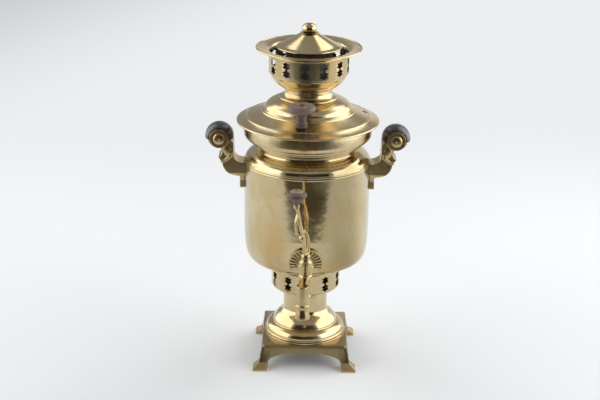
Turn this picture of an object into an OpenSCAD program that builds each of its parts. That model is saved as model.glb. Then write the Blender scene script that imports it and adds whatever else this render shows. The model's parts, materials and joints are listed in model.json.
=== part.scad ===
// Charcoal samovar in spun and cast brass: a square footed base, a pedestal, a pierced
// blower ring, the water body round its fire tube, a lift-off lid with a crown and a cap,
// a plug tap with an openwork key, and two cast handles with wooden grips.
// Millimetres. Z is up from the table, the turned axis is Z, and the tap points to -Y.

/* [Sheet and fits] */
// Thickness of the spun sheet
shell_t = 1.2; // [0.8:0.1:1.6]
// Play between pieces that are soldered or riveted together
solder_gap = 0.1; // [0.05:0.05:0.2]
// Play between pieces that lift off each other
slip_gap = 0.4; // [0.3:0.1:0.8]
// Play under a piece that rests on another
rest_gap = 0.05; // [0.02:0.01:0.1]
// Radial play of the tap's ground plug
plug_gap = 0.05; // [0.02:0.01:0.1]

/* [Base] */
// Side of the square base plate
base_w = 108; // [100:1:120]
// Height of the plate's top above the table
base_h = 31.5; // [27:0.5:36]
// Thickness of the plate
base_t = 3; // [2:0.5:4]
// Rounding of the plate's corners
base_corner_r = 4; // [2:0.5:7]
// Thickness of the apron below the plate
apron_t = 3; // [2:0.5:4]
// Depth from the plate's top to the crown of the apron's arches
apron_drop = 10; // [7:0.5:13]
// How far each toe reaches past the plate's edges
toe_splay = 12; // [7:0.5:14]
// Side of a toe's sole
toe_w = 18.5; // [14:0.5:20]
// Height of a toe
toe_h = 9; // [7:0.5:11]

/* [Pedestal] */
// Height of the pedestal
pedestal_h = 60.5; // [54:0.5:74]
// How far its foot stays inside the plate's edges
foot_inset = 1; // [0.5:0.5:6]
// Radius of its neck
neck_r = 28; // [25:0.5:31]

/* [Blower ring] */
// Height of the ring
blower_h = 32; // [30:0.5:38]
// Radius of its wall
blower_r = 44; // [41:0.5:48]
// Number of air holes
blower_holes = 11; // [8:1:13]
// Height of an air hole
blower_hole_h = 21.5; // [14:0.5:21.5]
// Width of an air hole
blower_hole_w = 11; // [6:0.5:12]

/* [Body] */
// Radius of the body's wall
body_r = 79; // [73:0.5:88]
// Height of the body from the blower ring to the collar
body_h = 159; // [145:1:180]
// How far the neck that carries the collar lies inside the wall
body_neck_in = 16; // [12:0.5:22]
// Thickness of the water space's floor
floor_t = 2; // [1.5:0.5:3]

/* [Collar] */
// How far the collar's wall stands out past the body's
collar_out = 1.3; // [0:0.1:4]
// Height from the body's neck to the lid's rim
collar_h = 33; // [28:1:42]
// Length of the body's spigot inside the collar
spigot_h = 5; // [3:0.5:8]

/* [Fire tube] */
// Outer radius of the fire box
fire_r = 33; // [31:0.5:37]
// Outer radius of the chimney end that a pipe slips over
flue_r = 27.5; // [25:0.25:28.5]
// Thickness of the tube
tube_t = 1.6; // [1.2:0.1:2]
// Height of the fire box below the taper
fire_box_h = 76; // [60:1:90]
// Height of the taper
fire_taper_h = 60; // [40:1:70]
// Length of the swaged chimney end
flue_end_h = 36; // [20:1:40]
// Thickness of the grate
grate_t = 3.5; // [2.5:0.5:5]
// Width of the grate's slots
grate_slot = 4; // [3:0.5:5]

/* [Lid] */
// How far the lid's rim stands out past the collar
lid_over = 8.9; // [6:0.1:14]
// Height from the rim to the top of the lid's neck
lid_h = 45; // [42:0.5:52]
// Width of the shelf round the lid's dome, where the knobs stand
lid_shelf_w = 23.5; // [20:0.5:26]
// Depth of the lid's skirt inside the collar
skirt_h = 11; // [7:0.5:14]
// Turn of the lid as photographed
lid_turn = -6.7; // [-45:0.1:45]
// Radius of the steam vent
vent_r = 3.5; // [2:0.5:4]
// Bearing of the steam vent from the right of the lid
vent_turn = 15.6; // [0:0.1:60]

/* [Knobs] */
// Radius of a lid knob's head
lid_knob_r = 17.1; // [14:0.1:19]
// Height of a lid knob above the lid
lid_knob_h = 27.5; // [24:0.5:34]
// Radius of the tap key's knob
key_knob_r = 12.3; // [10:0.1:14]
// Height of the tap key's knob
key_knob_h = 18; // [16:0.5:22]
// Radius of the screws through the knobs
screw_r = 1.5; // [1:0.1:2]

/* [Crown] */
// Radius of the crown's wall
crown_r = 49.6; // [46:0.1:54]
// Height of the crown
crown_h = 52; // [50:0.5:60]
// Radius of the crown's rim
crown_rim_r = 65.8; // [60:0.1:72]
// Number of holes in the crown
crown_holes = 13; // [9:1:15]
// Height of a hole
crown_hole_h = 21; // [14:0.5:21]
// Width of a hole
crown_hole_w = 12; // [7:0.5:12]
// Turn of the crown as photographed
crown_turn = -5.6; // [-20:0.1:20]

/* [Cap] */
// Radius of the cap's rim
cap_r = 40.7; // [37:0.1:44]
// Height of the cap's cone
cap_h = 10.5; // [8:0.5:14]
// Depth of its sleeve over the chimney end
cap_sleeve_h = 12; // [6:0.5:16]
// Height of the finial
finial_h = 20; // [16:0.5:26]
// Radius of the finial's ball
finial_r = 9.2; // [7:0.1:11]

/* [Tap] */
// Height of the tap's bore above the blower ring
tap_up = 26; // [24:0.5:32]
// Distance from the body's wall to the barrel's axis
barrel_out = 36; // [33:0.5:42]
// Radius of the barrel
barrel_r = 7.6; // [7.2:0.1:9]
// Length of the barrel
barrel_h = 48; // [44:1:56]
// Reach of the spout past the barrel
spout_reach = 34.5; // [30:0.5:42]
// Width of the spout's bar across its flats
spout_w = 13.6; // [12:0.2:15]
// Turn of the spout to the left, as photographed
spout_turn = 5; // [0:0.5:8]
// Drop of the spout's elbow below its bar
elbow_drop = 17; // [15:0.5:22]
// Height of the spout's mouth below its elbow
mouth_h = 15; // [12:0.5:20]
// Radius of the mouth
mouth_r = 9; // [8:0.1:10.5]
// Radius of the water way
water_r = 3; // [2:0.25:3.25]
// Radius of the shell-shaped rosette
rosette_r = 21.7; // [19:0.1:24]
// Number of ribs on the rosette
rosette_ribs = 17; // [11:2:21]

/* [Tap key] */
// Radius of the plug at its top
plug_r = 5.4; // [4.8:0.1:5.6]
// Thickness of the openwork branch
branch_t = 3.6; // [3:0.2:6]
// Height of the branch above the plug's cap
branch_h = 69.5; // [56:0.5:76]
// How far the knob stands off the plug's axis
branch_lean = 18.5; // [12:0.5:20]
// Bearing of the branch as photographed, with the tap closed
key_turn = -130; // [-180:1:-90]

/* [Handles] */
// Width of the cast bracket
handle_w = 28; // [22:0.5:32]
// Height of the bracket's plate
plate_h = 38; // [34:0.5:44]
// Thickness of the plate
plate_t = 6.6; // [5:0.1:8]
// Reach of the scroll's centre from the wall
scroll_out = 31.5; // [29:0.5:35]
// Height of the scroll's centre above the plate's foot
scroll_up = 66.5; // [62:0.5:74]
// Radius of the scroll's core
scroll_r = 10.5; // [9:0.1:12]
// Outer radius of the wooden grip
grip_r = 18; // [16:0.1:19]
// How much a grip narrows towards its ends
grip_barrel = 4.4; // [1:0.2:6]
// Angle that the grip wraps round the core
grip_arc = 196; // [160:1:200]
// Radius of the rivet through the scroll
grip_pin_r = 2; // [1.5:0.1:2.5]
// Radius of the screws that hold the brackets
handle_screw_r = 2; // [1.5:0.1:2.5]

/* [Hidden] */
$fn = 96;
small_fn = 40;
eps = 0.5;

// Colours
brass = [0.76, 0.66, 0.38];
pale_brass = [0.80, 0.72, 0.50];
iron = [0.25, 0.24, 0.23];
tin = [0.62, 0.60, 0.55];
knob_wood = [0.52, 0.40, 0.35];
black_wood = [0.10, 0.10, 0.10];

// Levels, from the table up
z_blower = base_h + pedestal_h;
z_body = z_blower + blower_h;
z_water = z_body + floor_t;
z_collar = z_body + body_h;
z_lid = z_collar + collar_h;
z_lid_neck = z_lid + lid_h;
z_crown = z_lid_neck - 2.5;
z_crown_rim = z_crown + crown_h;
z_flue = z_crown_rim - 1.3;
z_cap = z_flue + slip_gap;
z_finial = z_cap + cap_h;
z_tap = z_body + tap_up;

// Radii that follow from a neighbour or a fit
pedestal_foot_r = base_w / 2 - foot_inset;
body_neck_r = body_r - body_neck_in;
collar_r = body_r + collar_out;
lid_r = collar_r + lid_over;
lid_ridge_r = collar_r - 1.8;
lid_dome_r = lid_ridge_r - lid_shelf_w;
collar_neck_r = body_neck_r - 0.8;
spigot_r = collar_neck_r - shell_t - solder_gap;
skirt_r = collar_r - shell_t - slip_gap;
lid_neck_r = flue_r + 0.5 + slip_gap + shell_t;
crown_neck_r = lid_neck_r + slip_gap + shell_t;
cap_sleeve_r = flue_r + slip_gap + shell_t;
throat_r = fire_r - 4;
grate_r = fire_r - tube_t - slip_gap;
roll_r = 1.15;

// Points along curves and paths
function arc(c, r, a0, a1, n = 8) =
    [for (i = [0:n]) let (a = a0 + (a1 - a0) * i / n) c + r * [cos(a), sin(a)]];
function bezier(a, b, c, d, n = 9) =
    [for (i = [0:n]) let (t = i / n, u = 1 - t)
        u * u * u * a + 3 * u * u * t * b + 3 * u * t * t * c + t * t * t * d];
function bead(r, z, h, out, n = 8) =
    [for (i = [0:n]) let (a = -90 + 180 * i / n) [r + out * cos(a), z + h * (1 + sin(a)) / 2]];
function joined(lists) = let (p = [for (l = lists) for (q = l) q])
    [for (i = [0:len(p) - 1]) if (i == 0 || norm(p[i] - p[max(i - 1, 0)]) > 0.02) p[i]];
function backwards(p) = [for (i = [len(p) - 1:-1:0]) p[i]];
function unit(v) = v / norm(v);
function left_of(v) = [-v.y, v.x];
// Normal to the left of the path at point i, long enough to keep the offset's thickness
function corner_normal(p, i) =
    let (last = len(p) - 1,
        before = left_of(unit(p[max(i, 1)] - p[max(i, 1) - 1])),
        after = left_of(unit(p[min(i + 1, last)] - p[min(i + 1, last) - 1])),
        middle = unit(before + after))
    middle / max(middle * before, 0.4);
function offset_path(p, d) = [for (i = [0:len(p) - 1]) p[i] + d * corner_normal(p, i)];
// Closed outline of a sheet between two offsets to the left of a path
function sheet(p, d0, d1) = concat(offset_path(p, d0), backwards(offset_path(p, d1)));
// Band along a path whose width runs evenly from w0 to w1
function ribbon(p, w0, w1) =
    let (n = len(p) - 1, half = [for (i = [0:n]) (w0 + (w1 - w0) * i / n) / 2])
    concat([for (i = [0:n]) p[i] + half[i] * corner_normal(p, i)],
        backwards([for (i = [0:n]) p[i] - half[i] * corner_normal(p, i)]));

// Profiles of the spun pieces, outside surface, with the inside on the left
pedestal_path = joined([
    [[pedestal_foot_r, base_h], [pedestal_foot_r, base_h + 1.8], [pedestal_foot_r - 1.6, base_h + 2.2]],
    bead(pedestal_foot_r - 2, base_h + 2.3, 2.4, 0.9),
    bezier([pedestal_foot_r - 2.4, base_h + 5], [pedestal_foot_r - 2.8, base_h + 10],
        [pedestal_foot_r - 6.5, base_h + 14], [neck_r + 13.8, base_h + 14.5]),
    [[neck_r + 13.4, base_h + 15.3]],
    bezier([neck_r + 13.3, base_h + 16], [neck_r + 13, base_h + 18.5],
        [neck_r + 9, base_h + 24.5], [neck_r + 5.2, base_h + 27.5]),
    bezier([neck_r + 5.2, base_h + 27.5], [neck_r + 2.6, base_h + 29.6],
        [neck_r, base_h + 31.8], [neck_r, base_h + 36]),
    [[neck_r, z_blower]]]);

blower_path = joined([
    [[neck_r - shell_t, z_blower], [neck_r + 0.5, z_blower], [blower_r - 6, z_blower + 2.8]],
    bezier([blower_r - 6, z_blower + 2.8], [blower_r - 1.8, z_blower + 3.4],
        [blower_r, z_blower + 5], [blower_r, z_blower + 7.5]),
    [[blower_r, z_body - 3.2], [blower_r + 1.6, z_body - 2.8], [blower_r + 1.6, z_body],
        [throat_r, z_body]]]);

body_path = joined([
    [[blower_r - 1.5, z_water], [blower_r + 2, z_water]],
    bezier([body_r - 15, z_water + 7.4], [body_r - 3, z_water + 11],
        [body_r - 1, z_water + 20], [body_r - 0.3, z_water + 44], 14),
    [[body_r, z_water + 56], [body_r, z_collar - 21]],
    bead(body_r, z_collar - 21, 2.5, 0.7),
    bead(body_r, z_collar - 18.3, 2.5, 0.7),
    bezier([body_r - 0.5, z_collar - 15], [body_r - 0.5, z_collar - 9.5],
        [body_r - 8, z_collar - 5.5], [body_neck_r + 1.4, z_collar - 3]),
    [[body_neck_r, z_collar - 2.4], [body_neck_r, z_collar], [spigot_r, z_collar],
        [spigot_r, z_collar + spigot_h]]]);

// The lid's underside rests on its skirt's flange, and the flange on the collar
lid_edge = [lid_r - roll_r, z_lid + 2 * roll_r];
lid_brow = [lid_ridge_r, z_lid + 6.5];
lid_slope = (lid_brow.y - lid_edge.y) / (lid_edge.x - lid_brow.x);
flange_r = collar_r + 1.2;
z_flange = lid_edge.y + (lid_edge.x - flange_r) * lid_slope
    - shell_t * sqrt(1 + lid_slope * lid_slope) - shell_t;
lid_path = joined([
    [lid_edge, lid_brow],
    [lid_brow + [-0.6, 0.9], lid_brow + [-1.8, 1.3], lid_brow + [-3, 1.1]],
    [[lid_dome_r + 4, z_lid + 14], [lid_dome_r + 3.2, z_lid + 15.4]],
    [[lid_dome_r + 1.6, z_lid + 16.2], [lid_dome_r + 0.3, z_lid + 17.6]],
    bezier([lid_dome_r - 0.6, z_lid + 18.2], [lid_dome_r - 2.6, z_lid + 24],
        [lid_dome_r - 7, z_lid + 26.6], [lid_neck_r + 11.4, z_lid + 29]),
    [[lid_neck_r + 7, z_lid + 29.8]],
    arc([lid_neck_r + 5.6, z_lid + 31.2], 1.3, -60, 80),
    bezier([lid_neck_r + 5, z_lid + 33], [lid_neck_r + 1.8, z_lid + 33.6],
        [lid_neck_r, z_lid + 36], [lid_neck_r, z_lid + 39.6]),
    [[lid_neck_r, z_lid_neck]]]);

collar_path = joined([
    [[collar_neck_r, z_collar], [collar_neck_r, z_collar + 2.4]],
    bezier([collar_neck_r + 0.8, z_collar + 3.6], [collar_neck_r + 4.4, z_collar + 3.8],
        [collar_neck_r + 5.4, z_collar + 5.4], [collar_neck_r + 5.4, z_collar + 7.4], 6),
    bezier([collar_neck_r + 6.2, z_collar + 8.2], [collar_neck_r + 10, z_collar + 8.2],
        [collar_neck_r + 11, z_collar + 9.4], [collar_neck_r + 11, z_collar + 11.2], 6),
    bezier([collar_neck_r + 12.4, z_collar + 12], [collar_r - 3, z_collar + 12.2],
        [collar_r - 0.4, z_collar + 14.6], [collar_r, z_collar + 19.5], 8),
    [[collar_r, z_flange]]]);

fire_tube_path = joined([
    [[fire_r, z_body], [fire_r, z_body + fire_box_h]],
    bezier([fire_r, z_body + fire_box_h], [fire_r, z_body + fire_box_h + fire_taper_h * 0.4],
        [flue_r + 0.5, z_body + fire_box_h + fire_taper_h * 0.6],
        [flue_r + 0.5, z_body + fire_box_h + fire_taper_h], 10),
    [[flue_r + 0.5, z_flue - flue_end_h - 2], [flue_r, z_flue - flue_end_h], [flue_r, z_flue]]]);

crown_path = joined([
    [[crown_neck_r, z_crown], [crown_neck_r, z_crown + 1.8]],
    bezier([crown_neck_r + 1, z_crown + 2.4], [crown_neck_r + 9, z_crown + 5.5],
        [crown_r - 4.4, z_crown + 12], [crown_r - 2.4, z_crown + 18]),
    [[crown_r - 2.4, z_crown + 19.4], [crown_r, z_crown + 20.4], [crown_r, z_crown_rim - 9.2]],
    bead(crown_r, z_crown_rim - 9, 3.2, 1.2),
    bezier([crown_r, z_crown_rim - 5.6], [crown_r + 1.4, z_crown_rim - 2.6],
        [crown_rim_r - 8, z_crown_rim - 2.4], [crown_rim_r - 1.2, z_crown_rim - 2 * shell_t + 0.6])]);

cap_path = bezier([cap_r - 1, z_cap + 2], [cap_r - 8, z_cap + 5.2], [22, z_cap + cap_h - 2.4],
    [finial_r + 1, z_finial]);

// Hole of two stars, tip to tip: one quarter of the outline, turned over into the others
star_quarter = [[0, 0.5], [0.17, 0.36], [0.5, 0.30], [0.31, 0.20], [0.42, 0.08], [0.25, 0]];
function star_outline(w, h) =
    let (q = [for (p = star_quarter) [p.x * w, p.y * h]], n = len(q) - 1)
    concat(q, [for (i = [n - 1:-1:0]) [q[i].x, -q[i].y]], [for (i = [1:n]) [-q[i].x, -q[i].y]],
        [for (i = [n - 1:-1:1]) [-q[i].x, q[i].y]]);

module spun(outline) rotate_extrude() polygon(outline);

module star_ring(count, w, h, r, z, turn)
    for (i = [0:count - 1])
        rotate([0, 0, turn + i * 360 / count])
            translate([0, -r + 8, z])
                rotate([90, 0, 0]) linear_extrude(16) polygon(star_outline(w, h));

// Straight bar from point a to point b
module bar(a, b, r, fn = small_fn) {
    d = b - a;
    translate(a)
        rotate([0, acos(d.z / norm(d)), atan2(d.y, d.x)])
            rotate([0, 0, 180 / fn]) cylinder(r = r, h = norm(d), $fn = fn);
}

// Base: plate, arched apron and four flared feet in one casting
arch_half = base_w / 2 - 4;
function superellipse(a, b, e, n = 20) =
    [for (i = [0:n]) let (t = 180 * i / n)
        [a * sign(cos(t)) * pow(abs(cos(t)), 2 / e), b * pow(sin(t), 2 / e)]];
function square_ring(lo, hi, z) = [[lo, lo, z], [hi, lo, z], [hi, hi, z], [lo, hi, z]];

module rounded_square(w, r) offset(r = r, $fn = small_fn) square(w - 2 * r, center = true);

module leg() {
    reach = base_w / 2 + toe_splay;
    levels = [
        square_ring(reach - toe_w, reach, 0),
        square_ring(reach - toe_w, reach - 0.4, 2.6),
        square_ring(base_w / 2 - 7.5, base_w / 2 + 3.6, toe_h),
        square_ring(base_w / 2 - 14, base_w / 2 - 0.4, base_h - base_t - 0.5)];
    sides = [for (k = [0:2]) for (i = [0:3])
        [4 * k + i, 4 * k + (i + 1) % 4, 4 * k + 4 + (i + 1) % 4, 4 * k + 4 + i]];
    polyhedron([for (l = levels) for (p = l) p],
        [for (f = concat([[3, 2, 1, 0]], sides, [[12, 13, 14, 15]])) backwards(f)]);
}

module base_plate() color(pale_brass)
    difference() {
        union() {
            translate([0, 0, base_h - base_t]) linear_extrude(base_t)
                rounded_square(base_w, base_corner_r);
            difference() {
                translate([0, 0, toe_h]) linear_extrude(base_h - toe_h - base_t / 2)
                    difference() {
                        rounded_square(base_w, base_corner_r);
                        square(base_w - 2 * apron_t, center = true);
                    }
                for (side = [0, 90])
                    rotate([90, 0, side])
                        linear_extrude(base_w + 2 * eps, center = true)
                            polygon(superellipse(arch_half, base_h - apron_drop, 2.7));
            }
            for (quarter = [0:3]) rotate([0, 0, 90 * quarter]) leg();
        }
        translate([0, 0, -eps]) cylinder(r = neck_r + 9, h = base_h + 2 * eps);
    }

module pedestal() color(brass) spun(sheet(pedestal_path, 0, shell_t));

module blower_ring() color(brass)
    difference() {
        spun(sheet(blower_path, 0, shell_t));
        star_ring(blower_holes, blower_hole_w, blower_hole_h, blower_r,
            z_body - 14.6, 2.7 - 180 / blower_holes + 180);
    }

module grate() color(iron)
    translate([0, 0, z_body])
        difference() {
            cylinder(r = grate_r, h = grate_t);
            for (i = [-3:3])
                translate([2 * grate_slot * i, 0, 0]) {
                    slot_l = 2 * sqrt(pow(grate_r - 4, 2) - pow(2 * grate_slot * i, 2));
                    translate([-grate_slot / 2, -slot_l / 2, -eps])
                        cube([grate_slot, slot_l, grate_t + 2 * eps]);
                }
        }

module fire_tube() color(tin) spun(sheet(fire_tube_path, 0, tube_t));

module reservoir_floor() color(tin)
    translate([0, 0, z_body])
        difference() {
            cylinder(r = blower_r + 1.4, h = floor_t);
            translate([0, 0, -eps]) cylinder(r = fire_r + solder_gap, h = floor_t + 2 * eps);
        }

module body_shell() color(brass)
    difference() {
        spun(sheet(body_path, 0, shell_t));
        tap_hole(shank_r + solder_gap);
        handle_screw_holes(handle_screw_r + solder_gap);
    }

module collar_ring() color(brass) spun(sheet(collar_path, 0, shell_t));

// Lid, with a rolled edge
module lid() color(brass)
    rotate([0, 0, lid_turn])
        difference() {
            union() {
                spun(sheet(lid_path, 0, shell_t));
                rotate_extrude() translate(lid_edge - [0, roll_r]) circle(r = roll_r, $fn = 24);
            }
            rotate([0, 0, vent_turn])
                translate([lid_ridge_r - 7, 0, z_lid])
                    cylinder(r = vent_r, h = lid_h, $fn = small_fn);
            for (side = [-1, 1])
                translate([0, side * lid_knob_at, z_lid])
                    cylinder(r = screw_r + solder_gap, h = lid_h, $fn = small_fn);
        }

module lid_skirt() color(brass)
    rotate_extrude() {
        translate([skirt_r - shell_t, z_flange - skirt_h]) square([shell_t, skirt_h + shell_t]);
        translate([skirt_r - shell_t, z_flange])
            square([flange_r - skirt_r + shell_t, shell_t]);
    }

// The lid's cone, where its knobs stand, run on past both ends, and the middle of it
lid_cone = [lid_brow + [-3, 1.1], [lid_dome_r + 4, z_lid + 14]];
lid_knob_at = (lid_cone[0].x + lid_cone[1].x) / 2;
z_lid_cone = (lid_cone[0].y + lid_cone[1].y) / 2;
cone_run = 8 * unit(lid_cone[1] - lid_cone[0]);
long_cone = [lid_cone[0] - cone_run, lid_cone[1] + cone_run];
// All that lies below (side -1) or above (side 1) the cone, moved down by depth
module beside_cone(depth, side)
    spun(concat(offset_path(long_cone, depth),
        [[long_cone[1].x, z_lid + 60 * side], [long_cone[0].x, z_lid + 60 * side]]));

// Turned knob: ringed foot, waisted stem, mushroom head with a raised border round a dish
z_knob = z_lid_cone + 0.7;
dish_r = lid_knob_r * 0.62;
lid_knob_outline = joined([
    [[0, -6], [7.25, -6], [7.25, 3]],
    bead(6.6, 3, 2.4, 0.9, 6),
    bezier([6.3, 5.6], [5.6, 9], [5.9, lid_knob_h - 14], [7.2, lid_knob_h - 11]),
    bezier([7.2, lid_knob_h - 11], [lid_knob_r - 4, lid_knob_h - 9.6],
        [lid_knob_r, lid_knob_h - 7.5], [lid_knob_r, lid_knob_h - 4.6]),
    bezier([lid_knob_r, lid_knob_h - 4.6], [lid_knob_r, lid_knob_h - 1.5],
        [lid_knob_r - 2, lid_knob_h], [dish_r + 1.2, lid_knob_h]),
    [[dish_r, lid_knob_h - 1.2], [dish_r - 1, lid_knob_h - 1.6], [0, lid_knob_h - 1.6]]]);

module lid_knob(side) color(knob_wood)
    rotate([0, 0, lid_turn])
        difference() {
            translate([0, side * lid_knob_at, z_knob]) rotate_extrude() polygon(lid_knob_outline);
            beside_cone(-solder_gap, -1);
            translate([0, side * lid_knob_at, z_lid])
                cylinder(r = screw_r + solder_gap, h = lid_h + lid_knob_h, $fn = small_fn);
        }

module lid_knob_front() lid_knob(-1);
module lid_knob_rear() lid_knob(1);

// Slotted screw standing on its tip at the origin
module slotted_screw(r, h, head_r, head_h)
    difference() {
        union() {
            cylinder(r = r, h = h, $fn = small_fn);
            translate([0, 0, h]) cylinder(r = head_r, h = head_h, $fn = small_fn);
        }
        translate([-head_r - eps, -0.4, h + head_h * 0.4]) cube([2 * head_r + 2 * eps, 0.8, head_h]);
    }

nut_h = 4;
z_lid_nut = z_lid_cone - shell_t - nut_h - 1;
z_lid_screw = z_lid_nut - 1.5;
module lid_knob_screws() color(brass)
    rotate([0, 0, lid_turn])
        for (side = [-1, 1])
            translate([0, side * lid_knob_at, z_lid_screw])
                slotted_screw(screw_r, z_knob + lid_knob_h - 1.6 - z_lid_screw, 3.6, 1.2);

module lid_knob_nuts() color(brass)
    rotate([0, 0, lid_turn])
        for (side = [-1, 1])
            difference() {
                translate([0, side * lid_knob_at, z_lid_nut])
                    cylinder(r = screw_r * 2.6, h = 2 * nut_h, $fn = 6);
                translate([0, side * lid_knob_at, z_lid_nut - eps])
                    cylinder(r = screw_r + solder_gap / 2, h = 3 * nut_h, $fn = small_fn);
                beside_cone(shell_t + solder_gap, 1);
            }

// Crown: collar over the lid's neck, an inner step that rests on it, pierced wall, flared rim
module crown() color(brass)
    rotate([0, 0, crown_turn])
        difference() {
            union() {
                spun(sheet(crown_path, 0, shell_t));
                rotate_extrude() {
                    translate([crown_rim_r - 1.1, z_crown_rim - 1.1]) circle(r = 1.1, $fn = 24);
                    translate([lid_neck_r - shell_t, z_lid_neck + rest_gap])
                        square([2 * shell_t + slip_gap + 0.6, shell_t]);
                }
            }
            star_ring(crown_holes, crown_hole_w, crown_hole_h, crown_r,
                z_crown_rim - 20, 0);
        }

// Cap: ogee cone, rolled edge, sleeve over the chimney end and the step that rests on it
module cap() color(brass)
    rotate_extrude() {
        difference() {
            union() {
                polygon(sheet(cap_path, 0, shell_t));
                translate([0, z_finial - shell_t]) square([finial_r + 1.2, shell_t]);
            }
            translate([0, z_finial - 2 * shell_t]) square([2 + solder_gap, 4 * shell_t]);
        }
        translate([cap_r - 1, z_cap + 1]) circle(r = 1, $fn = 24);
        intersection() {
            union() {
                translate([cap_sleeve_r - shell_t, z_flue - cap_sleeve_h])
                    square([shell_t, cap_sleeve_h + cap_h]);
                translate([flue_r - tube_t, z_flue]) square([tube_t + 2 * slip_gap, shell_t]);
            }
            polygon(concat([[0, z_flue - 2 * cap_sleeve_h], [cap_r, z_flue - 2 * cap_sleeve_h]],
                offset_path(cap_path, shell_t / 2), [[0, z_finial - shell_t / 2]]));
        }
    }

module cap_finial() color(brass)
    translate([0, 0, z_finial])
        rotate_extrude()
            polygon(joined([
                [[0, -5], [3.2, -5], [3.2, -shell_t - 0.1], [2, -shell_t - 0.1], [2, 0],
                    [finial_r + 2.6, 0], [finial_r + 2.6, 1]],
                bead(finial_r - 0.4, 1.4, finial_h * 0.31, 1),
                [[finial_r - 1.6, finial_h * 0.4]],
                [for (a = [-52:8:84]) [finial_r * cos(a), finial_h * (0.67 + 0.33 * sin(a))]],
                [[0, finial_h]]]));

// Tap. Distances along it are taken from the body's axis towards the spout
shank_r = 7;
barrel_y = body_r + barrel_out;
z_barrel = z_tap - 28;
z_barrel_top = z_barrel + barrel_h;
z_rosette = z_tap + 4;
z_spout = z_tap - 2;
z_elbow = z_spout - elbow_drop;
block_w = spout_w + 0.8;
plug_taper = 0.8;
plug_foot_r = plug_r - plug_taper;

module tap_hole(r)
    translate([0, 0, z_tap])
        rotate([90, 0, 0]) cylinder(r = r, h = barrel_y, $fn = small_fn);

// Rosette: a scalloped shell that lies on the body, with ribs and a raised rim
module rosette_area(r)
    intersection() {
        circle(r = r, $fn = small_fn * 2);
        translate([-2 * r, -9.5]) square([4 * r, 3 * r]);
    }

module body_layer(d)
    rotate([0, 0, -90 - 25])
        rotate_extrude(angle = 50)
            polygon(sheet([for (p = body_path) if (p.y > z_body + 8 && p.y < z_collar - 30) p],
                -solder_gap, -d));

module tap_rosette() color(pale_brass)
    difference() {
        union() {
            intersection() {
                body_layer(2);
                translate([0, 0, z_rosette]) rotate([90, 0, 0]) linear_extrude(2 * body_r)
                    rosette_area(rosette_r);
            }
            intersection() {
                body_layer(3.6);
                translate([0, 0, z_rosette]) rotate([90, 0, 0]) linear_extrude(2 * body_r) {
                    difference() {
                        rosette_area(rosette_r);
                        rosette_area(rosette_r - 2);
                    }
                    intersection() {
                        rosette_area(rosette_r - 1);
                        for (i = [0:rosette_ribs - 1])
                            rotate([0, 0, -20 + 220 * i / (rosette_ribs - 1)])
                                polygon([[0, -0.5], [rosette_r, -1.2], [rosette_r, 1.2], [0, 0.5]]);
                        difference() {
                            circle(r = rosette_r);
                            circle(r = shank_r + 1);
                        }
                    }
                }
            }
        }
        tap_hole(shank_r + solder_gap);
    }

// What lies on the barrel's axis, turned with the spout
module at_spout() translate([0, -barrel_y, 0]) rotate([0, 0, -spout_turn]) children();

// Tap body: shank, collared barrel, faceted spout bar and elbow block, turned mouth
module tap_body() color(brass)
    difference() {
        union() {
            translate([0, 0, z_tap]) rotate([90, 0, 0])
                rotate_extrude($fn = small_fn * 2)
                    polygon([[0, body_r - 9], [shank_r, body_r - 9], [shank_r, body_r + 2.2],
                        [9.4, body_r + 2.2], [9.4, body_r + 4], [7.4, body_r + 6],
                        [6.2, body_r + 12], [5.8, barrel_y - 8], [5.8, barrel_y], [0, barrel_y]]);
            translate([0, -barrel_y, z_barrel])
                rotate_extrude($fn = small_fn * 2)
                    polygon([[0, 0], [barrel_r - 0.9, 0], [barrel_r - 0.4, 0.8],
                        [barrel_r - 0.4, 6.5], [barrel_r - 1.3, 7.4], [barrel_r - 1.3, 8.6],
                        [barrel_r, 10], [barrel_r, 30.5], [barrel_r + 0.8, 31.3],
                        [barrel_r + 0.8, 33.2], [barrel_r, 34], [barrel_r, barrel_h - 2.2],
                        [barrel_r + 0.6, barrel_h - 1.6], [barrel_r + 0.6, barrel_h], [0, barrel_h]]);
            at_spout() {
                bar([0, 0, z_spout], [0, -spout_reach, z_spout], spout_w / 2 / cos(22.5), 8);
                translate([0, -spout_reach, z_elbow - 1]) rotate([0, 0, 22.5])
                    cylinder(r = block_w / 2 / cos(22.5), h = elbow_drop + block_w / 2 + 1, $fn = 8);
                translate([0, -spout_reach, z_elbow - 3 - mouth_h])
                    rotate_extrude($fn = small_fn * 2)
                        polygon([[0, 0], [mouth_r - 0.6, 0], [mouth_r, 0.6], [mouth_r - 0.3, 4],
                            [spout_w / 2, mouth_h - 2.4], [spout_w / 2, mouth_h - 1],
                            [spout_w / 2 + 1.7, mouth_h], [spout_w / 2 + 1.7, mouth_h + 3],
                            [0, mouth_h + 3]]);
            }
        }
        translate([0, 0, z_tap]) rotate([90, 0, 0])
            translate([0, 0, body_r - 10]) cylinder(r = water_r, h = barrel_out + 10, $fn = small_fn);
        translate([0, -barrel_y, z_barrel]) plug(plug_gap, 1);
        at_spout() {
            bar([0, 0, z_spout], [0, -spout_reach, z_spout], water_r - 0.4);
            translate([0, -spout_reach, z_elbow - 3 - mouth_h - eps])
                rotate_extrude($fn = small_fn)
                    polygon([[0, 0], [mouth_r - 1.4, 0], [water_r + 0.6, mouth_h - 1],
                        [water_r, mouth_h], [water_r, mouth_h + elbow_drop + water_r + 4],
                        [0, mouth_h + elbow_drop + water_r + 4]]);
        }
    }

// Key: tapered plug with a cross port, turned cap, openwork branch that carries the knob
z_key_cap = z_barrel_top + solder_gap;
z_branch = z_key_cap + 11;
z_key_knob = z_branch + branch_h;

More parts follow.
